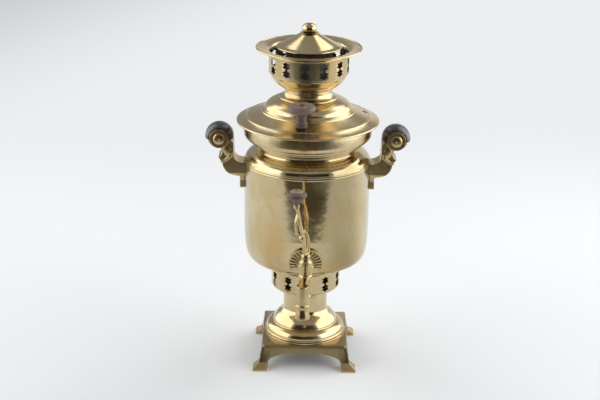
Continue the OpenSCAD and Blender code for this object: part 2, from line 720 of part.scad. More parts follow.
// The branch's drawing: main stem, low scroll with its bead, hanging leaf, small loop
module branch_drawing() {
    l = branch_lean;
    h = branch_h;
    polygon(ribbon(joined([
        bezier([0, 0], [5.5, h * 0.10], [0.5, h * 0.28], [l * 0.34, h * 0.42]),
        bezier([l * 0.34, h * 0.42], [l * 0.60, h * 0.54], [l * 0.72, h * 0.76], [l, h - 3])]), 4.8, 4.2));
    polygon(ribbon(joined([
        bezier([-1, 0], [-9, h * 0.06], [-9.5, h * 0.22], [-5.5, h * 0.32]),
        bezier([-5.5, h * 0.32], [-3, h * 0.39], [-0.5, h * 0.42], [2.4, h * 0.455])]), 3.4, 2.2));
    translate([3.8, h * 0.465]) circle(r = 2.6, $fn = small_fn);
    polygon(ribbon(bezier([l * 0.84, h * 0.80], [l + 3, h * 0.72], [l + 5, h * 0.58],
        [l + 1.5, h * 0.44]), 4, 2));
    translate([l + 1.2, h * 0.45]) circle(r = 1.8, $fn = small_fn);
    translate([l * 0.34 + 3.4, h * 0.34])
        difference() {
            circle(r = 4.2, $fn = small_fn);
            circle(r = 2, $fn = small_fn);
        }
}

// The ground plug, or the bore it turns in with a gap round it
module plug(gap, run)
    rotate_extrude($fn = small_fn * 2)
        polygon([[0, -run], [plug_foot_r + gap, -run], [plug_foot_r + gap, 0],
            [plug_r + gap, barrel_h - 0.4], [plug_r + gap, barrel_h + run], [0, barrel_h + run]]);

module tap_key() color(pale_brass)
    translate([0, -barrel_y, 0]) rotate([0, 0, key_turn])
        difference() {
            union() {
                translate([0, 0, z_barrel]) plug(0, 0.9);
                translate([0, 0, z_key_cap])
                    rotate_extrude($fn = small_fn * 2)
                        polygon(joined([[[0, 0], [8, 0], [8, 2.4]],
                            bezier([7.4, 3], [4.6, 4.5], [6.4, 8.5], [5, 12]), [[0, 12.6]]]));
                translate([0, branch_t / 2, z_branch]) rotate([90, 0, 0])
                    linear_extrude(branch_t) branch_drawing();
                translate([branch_lean, 0, z_key_knob - 5]) cylinder(r = 3.8, h = 5, $fn = small_fn);
            }
            translate([0, 0, z_tap]) rotate([0, 90, -key_turn])
                cylinder(r = water_r, h = 4 * plug_r, center = true, $fn = small_fn);
            translate([branch_lean, 0, z_key_knob - 8])
                cylinder(r = screw_r + solder_gap, h = 9, $fn = small_fn);
        }

key_knob_outline = joined([
    [[screw_r + solder_gap, 0], [3.8, 0], [3.9, 1]],
    bezier([3.9, 1], [5, key_knob_h * 0.30], [key_knob_r - 3.5, key_knob_h * 0.42],
        [key_knob_r, key_knob_h * 0.60]),
    bezier([key_knob_r, key_knob_h * 0.60], [key_knob_r, key_knob_h * 0.78],
        [key_knob_r - 1.6, key_knob_h * 0.84], [key_knob_r - 3, key_knob_h * 0.85]),
    [[key_knob_r - 3.4, key_knob_h * 0.81], [key_knob_r - 4, key_knob_h * 0.82]],
    bezier([key_knob_r - 4.2, key_knob_h * 0.86], [key_knob_r - 4.6, key_knob_h * 0.98],
        [5, key_knob_h], [screw_r + solder_gap, key_knob_h], 6)]);

module tap_key_knob() color(knob_wood)
    translate([0, -barrel_y, 0]) rotate([0, 0, key_turn])
        translate([branch_lean, 0, z_key_knob]) rotate_extrude() polygon(key_knob_outline);

module tap_key_screw() color(brass)
    translate([0, -barrel_y, 0]) rotate([0, 0, key_turn])
        translate([branch_lean, 0, z_key_knob - 7.5])
            slotted_screw(screw_r, key_knob_h + 7.5, 2.8, 1.1);

// Handles. Drawn for the right side: x out from the wall, y up from the plate's foot
z_handle = z_collar - 55;
arm_in = scroll_out - grip_r;
pin_head_r = 7.4;
disc_t = 1.6;

module handle_drawing() {
    foot = 17;
    polygon(joined([
        [[-2, foot - 1], [plate_t, foot - 1]],
        bezier([plate_t, foot], [plate_t + 11, foot + 1], [scroll_out - 5, foot + 6],
            [scroll_out - 3.6, plate_h - 2]),
        [[scroll_out + 1, plate_h + 4], [scroll_out - 1.8, plate_h + 5.6]],
        bezier([scroll_out - 3, plate_h + 8], [scroll_out - 5, plate_h + 12],
            [scroll_out - 3.6, scroll_up - scroll_r - 4], [scroll_out - 1, scroll_up - scroll_r]),
        [[scroll_out, scroll_up], [arm_in + grip_r - scroll_r - 1, scroll_up - 0.4]],
        bezier([arm_in + 0.3, scroll_up - 5], [arm_in, scroll_up - 10],
            [arm_in, plate_h + 10], [arm_in, plate_h + 6]),
        bezier([arm_in, plate_h + 6], [arm_in - 0.6, plate_h - 1], [plate_t - 1, plate_h - 3.4],
            [-2, plate_h - 3])]));
    translate([-2, 0]) square([plate_t + 2 - 0.8, foot + 2]);
    translate([scroll_out, scroll_up]) {
        circle(r = scroll_r);
        scroll_lip();
    }
}

// Lip that swells from the arm round the scroll to the foot of the grip
module scroll_lip() {
    from = -120;
    to = grip_from - 1.5;
    polygon(concat(arc([0, 0], scroll_r - 1, to, from, 10),
        [for (i = [0:10]) let (a = from + (to - from) * i / 10)
            (scroll_r + 3.4 * i / 10) * [cos(a), sin(a)]]));
}

// Outline of the casting seen from the side: a narrow tab below a full-width plate
module handle_front()
    polygon([for (s = [[-1, 0], [-1, 11], [-2.3, 21], [-2.3, 90], [2.3, 90], [2.3, 21], [1, 11], [1, 0]])
        [s.x * handle_w / 4.6, s.y]]);

// Space of the body's wall and its beads, with the gap round it
module wall_space() {
    top = z_handle + 2 * scroll_up;
    beads = [for (p = body_path) if (p.y > z_handle && p.y < z_collar - 15.5) p];
    spun(concat([[0, z_handle - eps]],
        offset_path(concat([[body_r, z_handle - eps]], beads, [[body_r, top]]), -solder_gap),
        [[0, top]]));
}

module handle_bracket() color(brass)
    difference() {
        union() {
            intersection() {
                translate([body_r, handle_w / 2, z_handle]) rotate([90, 0, 0])
                    linear_extrude(handle_w)
                        difference() {
                            handle_drawing();
                            translate([scroll_out, scroll_up]) grip_sector();
                        }
                translate([0, 0, z_handle]) rotate([90, 0, 90])
                    linear_extrude(2 * body_r) handle_front();
            }
            translate([body_r + scroll_out, 0, z_handle + scroll_up])
                rotate([90, 0, 0]) {
                    cylinder(r = scroll_r, h = handle_w + disc_t, center = true);
                    for (side = [-1, 1])
                        translate([0, 0, side * (handle_w + disc_t) / 2])
                            cylinder(r = scroll_r + 1.6, h = disc_t, center = true);
                }
        }
        wall_space();
        translate([body_r + scroll_out, 0, z_handle + scroll_up]) rotate([90, 0, 0])
            cylinder(r = grip_pin_r + solder_gap, h = 2 * handle_w, center = true, $fn = small_fn);
        handle_screw_holes(handle_screw_r + solder_gap / 2);
    }

// Where the wood lies round the core, in the handle's drawing
grip_from = 90 - grip_arc / 2;
module grip_sector()
    rotate([0, 0, grip_from])
        difference() {
            polygon(concat([[0, 0]], arc([0, 0], 2 * grip_r, 0, grip_arc, 24)));
            circle(r = scroll_r);
        }

module grip() color(black_wood)
    translate([body_r + scroll_out, 0, z_handle + scroll_up])
        rotate([90, 0, 0]) rotate([0, 0, grip_from + 1])
            rotate_extrude(angle = grip_arc - 2)
                polygon(joined([
                    [[scroll_r + solder_gap, handle_w / 2 - solder_gap],
                        [scroll_r + solder_gap, solder_gap - handle_w / 2]],
                    [for (t = [-1:0.125:1])
                        [grip_r - grip_barrel * pow(abs(t), 2.4), t * (handle_w / 2 - solder_gap)]]]));

module grip_rivet() color(brass)
    translate([body_r + scroll_out, 0, z_handle + scroll_up]) rotate([90, 0, 0])
        for (side = [0, 180]) rotate([side, 0, 0])
            rotate_extrude($fn = small_fn * 2)
                polygon(joined([[[0, 0], [grip_pin_r, 0], [grip_pin_r, handle_w / 2 + disc_t],
                    [pin_head_r, handle_w / 2 + disc_t]],
                    bezier([pin_head_r, handle_w / 2 + disc_t + 0.8],
                        [pin_head_r - 0.6, handle_w / 2 + disc_t + 2.4],
                        [4, handle_w / 2 + disc_t + 3], [0, handle_w / 2 + disc_t + 3], 6)]));

// Two screws a side, from inside the body into the bracket's plate
screw_levels = [8, 26];
module handle_screw_holes(r)
    for (side = [0, 180], up = screw_levels)
        rotate([0, 0, side])
            translate([body_r - 4, 0, z_handle + up]) rotate([0, 90, 0])
                cylinder(r = r, h = 9, $fn = small_fn);

module handle_screws() color(brass)
    for (side = [0, 180], up = screw_levels)
        rotate([0, 0, side])
            translate([body_r + 4.5, 0, z_handle + up]) rotate([0, -90, 0])
                slotted_screw(handle_screw_r, 4.5 + shell_t + 0.15, 4, 1.6);

module left_handle_bracket() mirror([1, 0, 0]) handle_bracket();
module right_handle_bracket() handle_bracket();
module left_grip() mirror([1, 0, 0]) grip();
module right_grip() grip();
module left_grip_rivet() mirror([1, 0, 0]) grip_rivet();
module right_grip_rivet() grip_rivet();

base_plate();
pedestal();
blower_ring();
grate();
fire_tube();
reservoir_floor();
body_shell();
collar_ring();
lid();
lid_skirt();
lid_knob_front();
lid_knob_rear();
lid_knob_screws();
lid_knob_nuts();
crown();
cap();
cap_finial();
tap_rosette();
tap_body();
tap_key();
tap_key_knob();
tap_key_screw();
left_handle_bracket();
right_handle_bracket();
left_grip();
right_grip();
left_grip_rivet();
right_grip_rivet();
handle_screws();
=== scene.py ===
"""Charcoal samovar: spun and cast brass, turned wood, and the stage it stands on."""
import json
import math

import bmesh
import bpy
from mathutils import Matrix, Vector, noise

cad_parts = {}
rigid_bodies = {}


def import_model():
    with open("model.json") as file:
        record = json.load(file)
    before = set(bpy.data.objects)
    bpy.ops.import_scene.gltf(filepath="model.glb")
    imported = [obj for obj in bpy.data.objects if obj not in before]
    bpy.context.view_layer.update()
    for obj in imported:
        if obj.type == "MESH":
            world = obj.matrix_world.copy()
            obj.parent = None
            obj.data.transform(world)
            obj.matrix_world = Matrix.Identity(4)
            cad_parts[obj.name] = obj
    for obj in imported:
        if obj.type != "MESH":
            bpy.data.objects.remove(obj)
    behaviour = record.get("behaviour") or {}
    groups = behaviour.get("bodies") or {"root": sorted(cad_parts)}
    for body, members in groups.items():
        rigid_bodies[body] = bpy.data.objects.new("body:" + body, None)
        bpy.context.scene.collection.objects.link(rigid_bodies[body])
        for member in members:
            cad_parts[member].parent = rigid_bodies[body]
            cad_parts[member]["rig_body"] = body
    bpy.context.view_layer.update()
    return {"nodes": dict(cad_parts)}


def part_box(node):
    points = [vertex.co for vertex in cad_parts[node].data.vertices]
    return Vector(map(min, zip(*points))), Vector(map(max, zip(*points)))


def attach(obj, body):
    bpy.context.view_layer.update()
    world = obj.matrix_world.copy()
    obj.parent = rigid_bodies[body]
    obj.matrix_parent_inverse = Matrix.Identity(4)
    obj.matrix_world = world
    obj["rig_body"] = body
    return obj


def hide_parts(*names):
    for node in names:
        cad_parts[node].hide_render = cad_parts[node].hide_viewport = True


bl_info = {
    "name": "Charcoal samovar",
    "version": (1, 0, 0),
    "blender": (4, 5, 0),
    "location": "View3D > Sidebar > Samovar",
    "description": "Dresses the packed samovar in spun and cast brass and turned wood, on a stage",
    "category": "Add Mesh",
}

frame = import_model()
Z_AXIS = Vector((0, 0, 1))

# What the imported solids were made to, in metres, and degrees round the upright axis
HALF_BASE, PLATE_T, TOE_H = 0.054, 0.003, 0.009
BLOWER_WALL_R, BLOWER_HOLES_DOWN, BLOWER_TURN = 0.044, 0.0146, 2.7
CROWN_WALL_R, CROWN_HOLES_DOWN, CROWN_TURN = 0.0496, 0.020, -5.6
TAP_LEVEL, TAP_HOLE_R = 0.150, 0.0071
BRACKET_SCREW_LEVELS, BRACKET_SCREW_R = (0.236, 0.254), 0.0021
VENT_OUT, VENT_BEARING, VENT_R = 0.0715, 8.9, 0.0035
KNOB_SCREW_R = 0.0016
BELOW_LID, ABOVE_LID = 0.31 * Z_AXIS, 0.36 * Z_AXIS
LID_KNOBS, LID_KNOB_R, KEY_KNOB_R = ("lid_knob_front", "lid_knob_rear"), 0.0171, 0.0123
PLUG_HEAD = Vector((0.0, -0.115, 0.180))


def size(label, text, default):
    """A length"""
    return bpy.props.FloatProperty(name=label, description=text, default=default, unit="LENGTH",
                                   precision=5, min=0.0)


def ratio(label, text, default, low, high):
    """A slope or a share"""
    return bpy.props.FloatProperty(name=label, description=text, default=default, min=low, max=high)


def colour(label, text, default):
    """A linear colour"""
    return bpy.props.FloatVectorProperty(name=label, description=text, default=default,
                                         subtype="COLOR", size=3, min=0.0, max=1.0)


def number(label, text, default, low, high):
    """A count"""
    return bpy.props.IntProperty(name=label, description=text, default=default, min=low, max=high)


class SamovarSizes(bpy.types.PropertyGroup):
    """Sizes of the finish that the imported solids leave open"""
    turn_steps: number("Turning steps", "Faces round a spun piece", 240, 48, 360)
    edge_round: size("Sheet edge rounding", "Rounding of the corners of spun sheet", 0.00035)
    wood_round: size("Wood edge rounding", "Rounding of the corners of turned wood", 0.0007)
    wave: size("Hand waviness", "How far the body's sheet strays from a true turned form", 0.00016)
    cast_grain: size("Casting grain", "Voxel size in which a casting's parts run together", 0.00042)
    rosette_grain: size("Rosette grain", "Voxel size of the finely fluted rosette", 0.00035)
    base_round: size("Base edge rounding", "Rounding of the square base's edges", 0.0006)
    batter: ratio("Apron batter", "Slope at which the apron leans out to its foot", 0.2, 0.0, 0.3)
    cap_rise: size("Cap rise", "Height that the cap's cone gains at its middle", 0.0083)
    blower_hole_w: size("Air hole width", "Width of a hole of the blower ring", 0.011)
    blower_hole_h: size("Air hole height", "Height of a hole of the blower ring", 0.0215)
    crown_hole_w: size("Crown hole width", "Width of a hole of the crown", 0.012)
    crown_hole_h: size("Crown hole height", "Height of a hole of the crown", 0.021)
    branch_width: ratio("Branch width", "Width of the key's openwork against its blank",
                        0.78, 0.5, 1.0)
    blower_holes: number("Air holes", "Holes round the blower ring", 11, 8, 13)
    crown_holes: number("Crown holes", "Holes round the crown", 13, 9, 15)


class SamovarColours(bpy.types.PropertyGroup):
    """Colours of the samovar's finishes and of the stage"""
    brass: colour("Brass", "Polished sheet brass", (0.57, 0.445, 0.23))
    pale_brass: colour("Pale brass", "Worn, whitish brass", (0.63, 0.53, 0.335))
    cast_brass: colour("Cast brass", "Castings: base, tap and handles", (0.47, 0.36, 0.18))
    bloom: colour("Copper bloom", "Pink and orange patches of old polish", (0.58, 0.37, 0.16))
    tarnish: colour("Tarnish", "Brown oxide in hollows and pits", (0.12, 0.085, 0.035))
    # Painted shade as well as dull brass: it darkens the body's right half and the base's sides,
    # and dulls the base's plate
    dull_brass_and_shade: colour("Dull brass", "Olive film on the base's sides and the body's right",
                       (0.24, 0.185, 0.09))
    copper_streak: colour("Copper streak", "Warm streak left of the tap", (0.56, 0.36, 0.14))
    # Painted reflection: greys the body's sides as if they mirrored the pale paper
    painted_reflection_grey: colour("Grey brass", "Greyed sides of the body", (0.55, 0.53, 0.42))
    gold_patch: colour("Gold patch", "Golden place low on the body", (0.62, 0.42, 0.16))
    tin: colour("Tin", "Tinned inside surfaces", (0.52, 0.50, 0.46))
    iron: colour("Iron", "Sooty grate", (0.035, 0.032, 0.03))
    ash: colour("Ash", "Ash on the grate", (0.16, 0.15, 0.14))
    # In the fire tube this soot is partly painted shade
    soot: colour("Soot", "Soot on the grate and in the tube", (0.02, 0.018, 0.016))
    knob_wood: colour("Knob wood", "Turned wood of the knobs", (0.125, 0.08, 0.06))
    worn_wood: colour("Worn wood", "Knob wood where hands wore it", (0.33, 0.25, 0.19))
    knob_stem: colour("Knob stem", "Darker stem under a knob's head", (0.06, 0.04, 0.032))
    knob_pores: colour("Knob pores", "Open grain of the knobs", (0.045, 0.03, 0.024))
    knob_grime: colour("Knob grime", "Hollows of the knobs", (0.03, 0.02, 0.016))
    black_wood: colour("Black wood", "Ebonised wood of the grips", (0.016, 0.017, 0.019))
    grip_worn: colour("Worn black wood", "Grip wood where it is rubbed", (0.085, 0.09, 0.10))
    grip_figure: colour("Grip figure", "Brown figure of the grips", (0.045, 0.03, 0.022))
    paper: colour("Paper", "Floor near the samovar", (0.875, 0.89, 0.905))
    far_paper: colour("Far paper", "Floor and backdrop further off", (0.84, 0.855, 0.87))
    felt: colour("Felt", "Dark cards that the metal mirrors", (0.06, 0.05, 0.036))
    white_card: colour("White card", "Bright card that the metal mirrors", (0.86, 0.84, 0.80))
    room: colour("Room light", "Light from all round", (0.80, 0.81, 0.83))


# ---------------- shader maths
class Value:
    """A number socket; arithmetic on it adds Math nodes"""

    def __init__(self, finish, socket):
        self.finish, self.socket = finish, socket

    def op(self, operation, *values):
        node = self.finish.node("ShaderNodeMath", {"operation": operation}, dict(enumerate(values)))
        return Value(self.finish, node.outputs[0])

    def __add__(self, other):
        return self.op("ADD", self, other)

    def __radd__(self, other):
        return self.op("ADD", other, self)

    def __sub__(self, other):
        return self.op("SUBTRACT", self, other)

    def __rsub__(self, other):
        return self.op("SUBTRACT", other, self)

    def __mul__(self, other):
        return self.op("MULTIPLY", self, other)

    def __rmul__(self, other):
        return self.op("MULTIPLY", other, self)

    def __truediv__(self, other):
        return self.op("DIVIDE", self, other)

    def __rtruediv__(self, other):
        return self.op("DIVIDE", other, self)

    def __pow__(self, other):
        return self.op("POWER", self, other)

    def __abs__(self):
        return self.op("ABSOLUTE", self)

    def least(self, other):
        return self.op("MINIMUM", self, other)

    def most(self, other):
        return self.op("MAXIMUM", self, other)

    def sine(self):
        return self.op("SINE", self)

    def ease(self, low, high):
        """0 below low, 1 above high, smooth between them"""
        node = self.finish.node("ShaderNodeMapRange",
                                {"interpolation_type": "SMOOTHSTEP", "clamp": True},
                                {"Value": self, "From Min": low, "From Max": high})
        return Value(self.finish, node.outputs[0])


class Finish:
    """The node tree of one material"""

    def __init__(self, name):
        self.material = bpy.data.materials.new(name)
        self.material.use_nodes = True
        self.tree = self.material.node_tree
        self.tree.nodes.clear()
        self.output = self.tree.nodes.new("ShaderNodeOutputMaterial")
        self.place = self.node("ShaderNodeTexCoord").outputs["Object"]

    def node(self, kind, settings=None, inputs=None):
        """Adds a node: its settings first, then the values or links of its sockets"""
        node = self.tree.nodes.new(kind)
        for key, setting in (settings or {}).items():
            setattr(node, key, setting)
        for key, value in (inputs or {}).items():
            if isinstance(value, Value):
                value = value.socket
            if isinstance(value, bpy.types.NodeSocket):
                self.tree.links.new(value, node.inputs[key])
            elif node.inputs[key].type == "RGBA":
                node.inputs[key].default_value = (*value, 1.0)
            else:
                node.inputs[key].default_value = value
        return node

    def split(self, centre=(0.0, 0.0, 0.0)):
        """x, y and z from a centre"""
        moved = self.node("ShaderNodeMapping", {"vector_type": "POINT"},
                          {"Vector": self.place, "Location": [-c for c in centre]})
        parts = self.node("ShaderNodeSeparateXYZ", None, {"Vector": moved.outputs[0]})
        return [Value(self, s) for s in parts.outputs]

    def vector(self, x, y, z):
        """A vector of three values"""
        return self.node("ShaderNodeCombineXYZ", None, {"X": x, "Y": y, "Z": z}).outputs[0]

    def scaled(self, scale, turn=(0.0, 0.0, 0.0), shift=(0.0, 0.0, 0.0)):
        """The place, stretched, turned and moved for a pattern"""
        return self.node("ShaderNodeMapping", {"vector_type": "POINT"},
                         {"Vector": self.place, "Scale": scale, "Rotation": turn,
                          "Location": shift}).outputs[0]

    def noise(self, vector, scale, detail=2.0, rough=0.5, warp=0.0, w=None):
        """Cloudy noise round 0.5, in four dimensions where w is given"""
        inputs = {"Vector": vector, "Scale": scale, "Detail": detail, "Roughness": rough,
                  "Distortion": warp}
        if w is not None:
            inputs["W"] = w
        node = self.node("ShaderNodeTexNoise",
                         {"noise_dimensions": "3D" if w is None else "4D"}, inputs)
        return Value(self, node.outputs["Fac"])

    def mix(self, factor, first, second):
        """One colour at factor 0, the other at factor 1"""
        node = self.node("ShaderNodeMix", {"data_type": "RGBA", "clamp_factor": True},
                         {0: factor, 6: first, 7: second})
        return node.outputs[2]

    def hollow(self, distance, inside=False):
        """0 on open surface, towards 1 in hollows, or at proud edges with inside"""
        node = self.node("ShaderNodeAmbientOcclusion", {"samples": 6, "inside": inside,
                                                        "only_local": True},
                         {"Distance": distance})
        return 1.0 - Value(self, node.outputs["AO"])

    def bump(self, height):
        """The normal of a surface with this height, in metres"""
        return self.node("ShaderNodeBump", None,
                         {"Height": height, "Distance": 1.0, "Strength": 1.0}).outputs[0]

    def shade(self, **sockets):
        """Ends the tree in a Principled shader"""
        names = {key.replace("_", " "): value for key, value in sockets.items()}
        surface = self.node("ShaderNodeBsdfPrincipled", None, names)
        self.tree.links.new(surface.outputs[0], self.output.inputs["Surface"])
        return self.material


def paints():
    """The colours that a user may change"""
    return bpy.context.scene.samovar_colours


def turned_place(f, centre=(0.0, 0.0, 0.0)):
    """Unit direction round a turned piece's axis, its radius and its height"""
    x, y, z = f.split(centre)
    radius = (x * x + y * y + 1e-10) ** 0.5
    return x / radius, y / radius, radius, z


def spun_brass(name, gloss=0.13, stain=1.0, bloom=0.5, film=None):
    """Old polished sheet: fine rings of the lathe, cloudy polish, pink bloom, brown hollows"""
    f, c = Finish(name), paints()
    cos, sin, radius, z = turned_place(f)
    rings = f.noise(f.vector(cos * 0.9, sin * 0.9, z * 1500.0), 1.0, 3.0, 0.6, w=radius * 1500.0)
    strokes = f.noise(f.vector(cos * 9.0, sin * 9.0, z * 420.0), 1.0, 3.0, 0.7, w=radius * 420.0)
    cloud = f.noise(f.place, 26.0, 4.0, 0.55, 0.4)
    patch = f.noise(f.scaled((34.0, 34.0, 24.0), shift=(3.1, 1.7, 0.4)), 1.0, 3.0, 0.6, 0.8)
    pits = f.noise(f.place, 520.0, 2.0, 0.6)
    hollow = f.hollow(0.0045).ease(0.12, 0.75)
    base = f.mix(cloud.ease(0.35, 0.68), c.brass, c.pale_brass)
    base = f.mix(patch.ease(0.56, 0.74) * bloom, base, c.bloom)
    haze = 0.0
    # A film may paint shade and reflections besides stains, as the body's does
    if film:
        base, haze = film(f, base, cloud)
    base = f.mix(pits.ease(0.66, 0.74) * 0.5 * stain, base, c.tarnish)
    base = f.mix((hollow * (0.35 + 0.9 * cloud) * stain).least(0.85), base, c.tarnish)
    rough = (gloss + 0.07 * cloud.ease(0.3, 0.75) + 0.08 * (strokes - 0.5) + 0.25 * hollow
             + 0.08 * patch.ease(0.56, 0.74) + haze)
    wavy = f.noise(f.place, 60.0, 2.0, 0.5)
    height = (wavy * 0.00016 + rings * 0.0000022 + strokes * 0.000003
              - pits.ease(0.66, 0.74) * 0.000012)
    return f.shade(Base_Color=base, Metallic=1.0, Roughness=rough.most(0.08), Normal=f.bump(height))


def body_film_and_shade(f, base, cloud):
    """The water body's copper streak, its right half darkened to olive as painted shade, its sides
    greyed as a painted reflection of the pale paper, its gold patch, and its haze
    """
    c = paints()
    x, _, z = f.split()
    drift = f.noise(f.scaled((30.0, 30.0, 12.0), shift=(5.2, 0.3, 2.2)), 1.0, 4.0, 0.6, 0.6)
    streak = (1.0 - abs(x + 0.039) / 0.017).ease(0.0, 0.7) * (0.235 - z).ease(0.0, 0.05)
    base = f.mix(streak * (0.1 + 0.8 * drift), base, c.copper_streak)
    # Painted shade: the right half is darkened to olive, standing in for a dimmer reflection there
    right = x.ease(0.0, 0.045) * (0.072 - x).ease(0.0, 0.02)
    base = f.mix(right * (0.35 + 0.5 * drift), base, c.dull_brass_and_shade)
    # Painted reflection: the sides are greyed, standing in for the pale paper that they mirror
    painted_reflection_sides = (abs(x) - 0.066).ease(0.0, 0.012)
    base = f.mix(painted_reflection_sides * 0.5, base, c.painted_reflection_grey)
    gold = (1.0 - abs(x - 0.028) / 0.02).ease(0.0, 0.8) * (0.165 - z).ease(0.0, 0.025)
    base = f.mix(gold * drift * 0.7, base, c.gold_patch)
    return base, 0.03 * x.ease(0.03, 0.055) + 0.09 * (0.0 - x).ease(0.03, 0.06)


def soot_and_shade_brass(name):
    """Inside walls browned by soot and heat, and darkened further by painted shade"""
    f, c = Finish(name), paints()
    cloud = f.noise(f.place, 90.0, 4.0, 0.6, 0.5)
    base = f.mix(cloud.ease(0.35, 0.7) * 0.5, c.tarnish * 0.4, c.brass * 0.3)
    return f.shade(Base_Color=base, Metallic=0.4, Roughness=0.5 + 0.2 * cloud,
                   Specular_IOR_Level=0.2, Normal=f.bump(cloud * 0.0002))


def casting_brass(name, gloss, stain=1.0, bloom=0.35, film=None):
    """Sand-cast brass filed and polished: soft lumps, file strokes, dark hollows, bright edges"""
    f, c = Finish(name), paints()
    cloud = f.noise(f.place, 60.0, 4.0, 0.6, 0.5)
    patch = f.noise(f.scaled((60.0, 60.0, 44.0), shift=(1.3, 4.7, 2.4)), 1.0, 3.0, 0.6, 0.7)
    grain = f.noise(f.place, 900.0, 3.0, 0.65)
    file_marks = f.noise(f.scaled((260.0, 260.0, 1900.0), (0.5, 0.35, 0.0)), 1.0, 2.0, 0.6)
    hollow = f.hollow(0.006).ease(0.10, 0.72)
    proud = f.hollow(0.0012, True).ease(0.25, 0.8)
    base = f.mix(cloud.ease(0.3, 0.7), c.cast_brass, c.brass)
    base = f.mix(patch.ease(0.55, 0.72) * bloom, base, c.bloom)
    # A film may paint shade besides its other tones, as the base's does
    if film:
        base = film(f, base, cloud)
    base = f.mix(grain.ease(0.62, 0.75) * 0.2 * stain, base, c.tarnish)
    base = f.mix((hollow * (0.45 + 0.9 * cloud) * stain).least(0.9), base, c.tarnish)
    base = f.mix(proud * 0.6, base, c.pale_brass)
    rough = gloss + 0.10 * cloud + 0.22 * hollow - 0.06 * proud + 0.06 * (file_marks - 0.5)
    height = cloud * 0.0001 + grain * 0.000006 + file_marks * 0.000004
    return f.shade(Base_Color=base, Metallic=1.0, Roughness=rough.most(0.1), Normal=f.bump(height))


def base_film_and_shade(f, base, cloud):
    """The base's sides darkened as painted shade, its dull plate, and its bright toes"""
    c = paints()
    _, _, z = f.split()
    # Painted shade: the apron's and legs' sides are darkened, standing in for the shaded floor that
    # they mirror
    sides = z.ease(0.008, 0.0105) * (0.0305 - z).ease(0.0, 0.0012)
    base = f.mix(sides * (0.55 + 0.5 * cloud), base, c.dull_brass_and_shade * 0.7)
    base = f.mix(z.ease(0.0302, 0.031) * (0.3 + 0.3 * cloud), base, c.dull_brass_and_shade)
    return f.mix((0.009 - z).ease(0.0, 0.0015) * 0.45, base, c.bloom)


def tinned_sheet(name, soot=0.0):
    """Grey wiped tin with scale, and soot where the fire is"""
    f, c = Finish(name), paints()
    cloud = f.noise(f.place, 45.0, 4.0, 0.6, 0.5)
    wipe = f.noise(f.scaled((120.0, 120.0, 30.0)), 1.0, 3.0, 0.6)
    base = f.mix(cloud.ease(0.35, 0.7) * 0.5, c.tin, c.tarnish)
    base = f.mix((wipe.ease(0.35, 0.65) + soot).least(1.0) * soot, base, c.soot)
    rough = 0.34 + 0.25 * cloud + 0.3 * soot
    return f.shade(Base_Color=base, Metallic=1.0 - 0.6 * soot, Roughness=rough,
                   Normal=f.bump(cloud * 0.0002 + wipe * 0.00005))


def sooty_iron(name):
    """Grey cast iron, sandy, with ash in its pits"""
    f, c = Finish(name), paints()
    grain = f.noise(f.place, 650.0, 4.0, 0.7)
    cloud = f.noise(f.place, 70.0, 3.0, 0.6)
    base = f.mix(cloud.ease(0.4, 0.7) * 0.6, c.iron, c.ash)
    base = f.mix(grain.ease(0.55, 0.7) * 0.5, base, c.soot)
    return f.shade(Base_Color=base, Metallic=0.5, Roughness=0.62 + 0.2 * grain,
                   Normal=f.bump(grain * 0.00012))


def knob_wood(name, centre, reach):
    """Turned wood: rings of the tool, open grain, a dark stem and a worn, lighter head"""
    f, c = Finish(name), paints()
    cos, sin, radius, z = turned_place(f, centre)
    x, y, height = f.split(centre)
    grain = f.noise(f.vector(x * 150.0, y * 900.0, height * 900.0), 1.0, 4.0, 0.65, 0.3)
    figure = f.noise(f.vector(x * 60.0, y * 260.0, height * 260.0), 1.0, 3.0, 0.6, 1.2)
    rings = f.noise(f.vector(cos * 0.7, sin * 0.7, z * 2400.0), 1.0, 2.0, 0.5, w=radius * 2400.0)
    worn = (z - 0.003).ease(0.0, 0.006) * (1.0 - 0.75 * (radius / reach).ease(0.72, 0.97))
    stem = (0.62 - radius / reach).ease(0.0, 0.1) * (0.002 - z).ease(0.0, 0.002)
    lathe = (z * 2900.0).sine().ease(0.55, 0.95)
    wear = f.noise(f.place, 210.0, 3.0, 0.6)
    hollow = f.hollow(0.003).ease(0.1, 0.6)
    base = f.mix(figure.ease(0.35, 0.65), c.knob_wood, c.knob_wood * 0.62)
    base = f.mix((worn * (0.35 + wear)).least(0.9), base, c.worn_wood)
    base = f.mix(stem * 0.55, base, c.knob_stem)
    base = f.mix(stem * lathe * 0.6, base, c.worn_wood)
    base = f.mix(grain.ease(0.56, 0.72) * 0.6, base, c.knob_pores)
    base = f.mix(hollow * 0.85, base, c.knob_grime)
    rough = 0.42 + 0.22 * grain + 0.12 * worn
    height = grain * 0.00006 + rings * 0.00003 + stem * lathe * 0.00025
    return f.shade(Base_Color=base, Metallic=0.0, Roughness=rough, Coat_Weight=0.12,
                   Coat_Roughness=0.25, Normal=f.bump(height))


def ebonised_wood(name, centre):
    """Blackened, waxed wood with its grain along the grip and rubbed high places"""
    f, c = Finish(name), paints()
    x, y, z = f.split(centre)
    grain = f.noise(f.vector(x * 900.0, y * 110.0, z * 900.0), 1.0, 4.0, 0.65, 0.4)
    figure = f.noise(f.vector(x * 260.0, y * 45.0, z * 260.0), 1.0, 3.0, 0.6, 0.8)
    rubbed = f.noise(f.place, 120.0, 3.0, 0.6).ease(0.45, 0.72)
    base = f.mix(rubbed * 0.8, c.black_wood, c.grip_worn)
    base = f.mix(figure.ease(0.5, 0.75) * 0.4, base, c.grip_figure)
    rough = 0.28 + 0.18 * grain + 0.14 * rubbed
    return f.shade(Base_Color=base, Metallic=0.0, Roughness=rough, Coat_Weight=0.5,
                   Coat_Roughness=0.16, Normal=f.bump(grain * 0.00005 + figure * 0.0001))


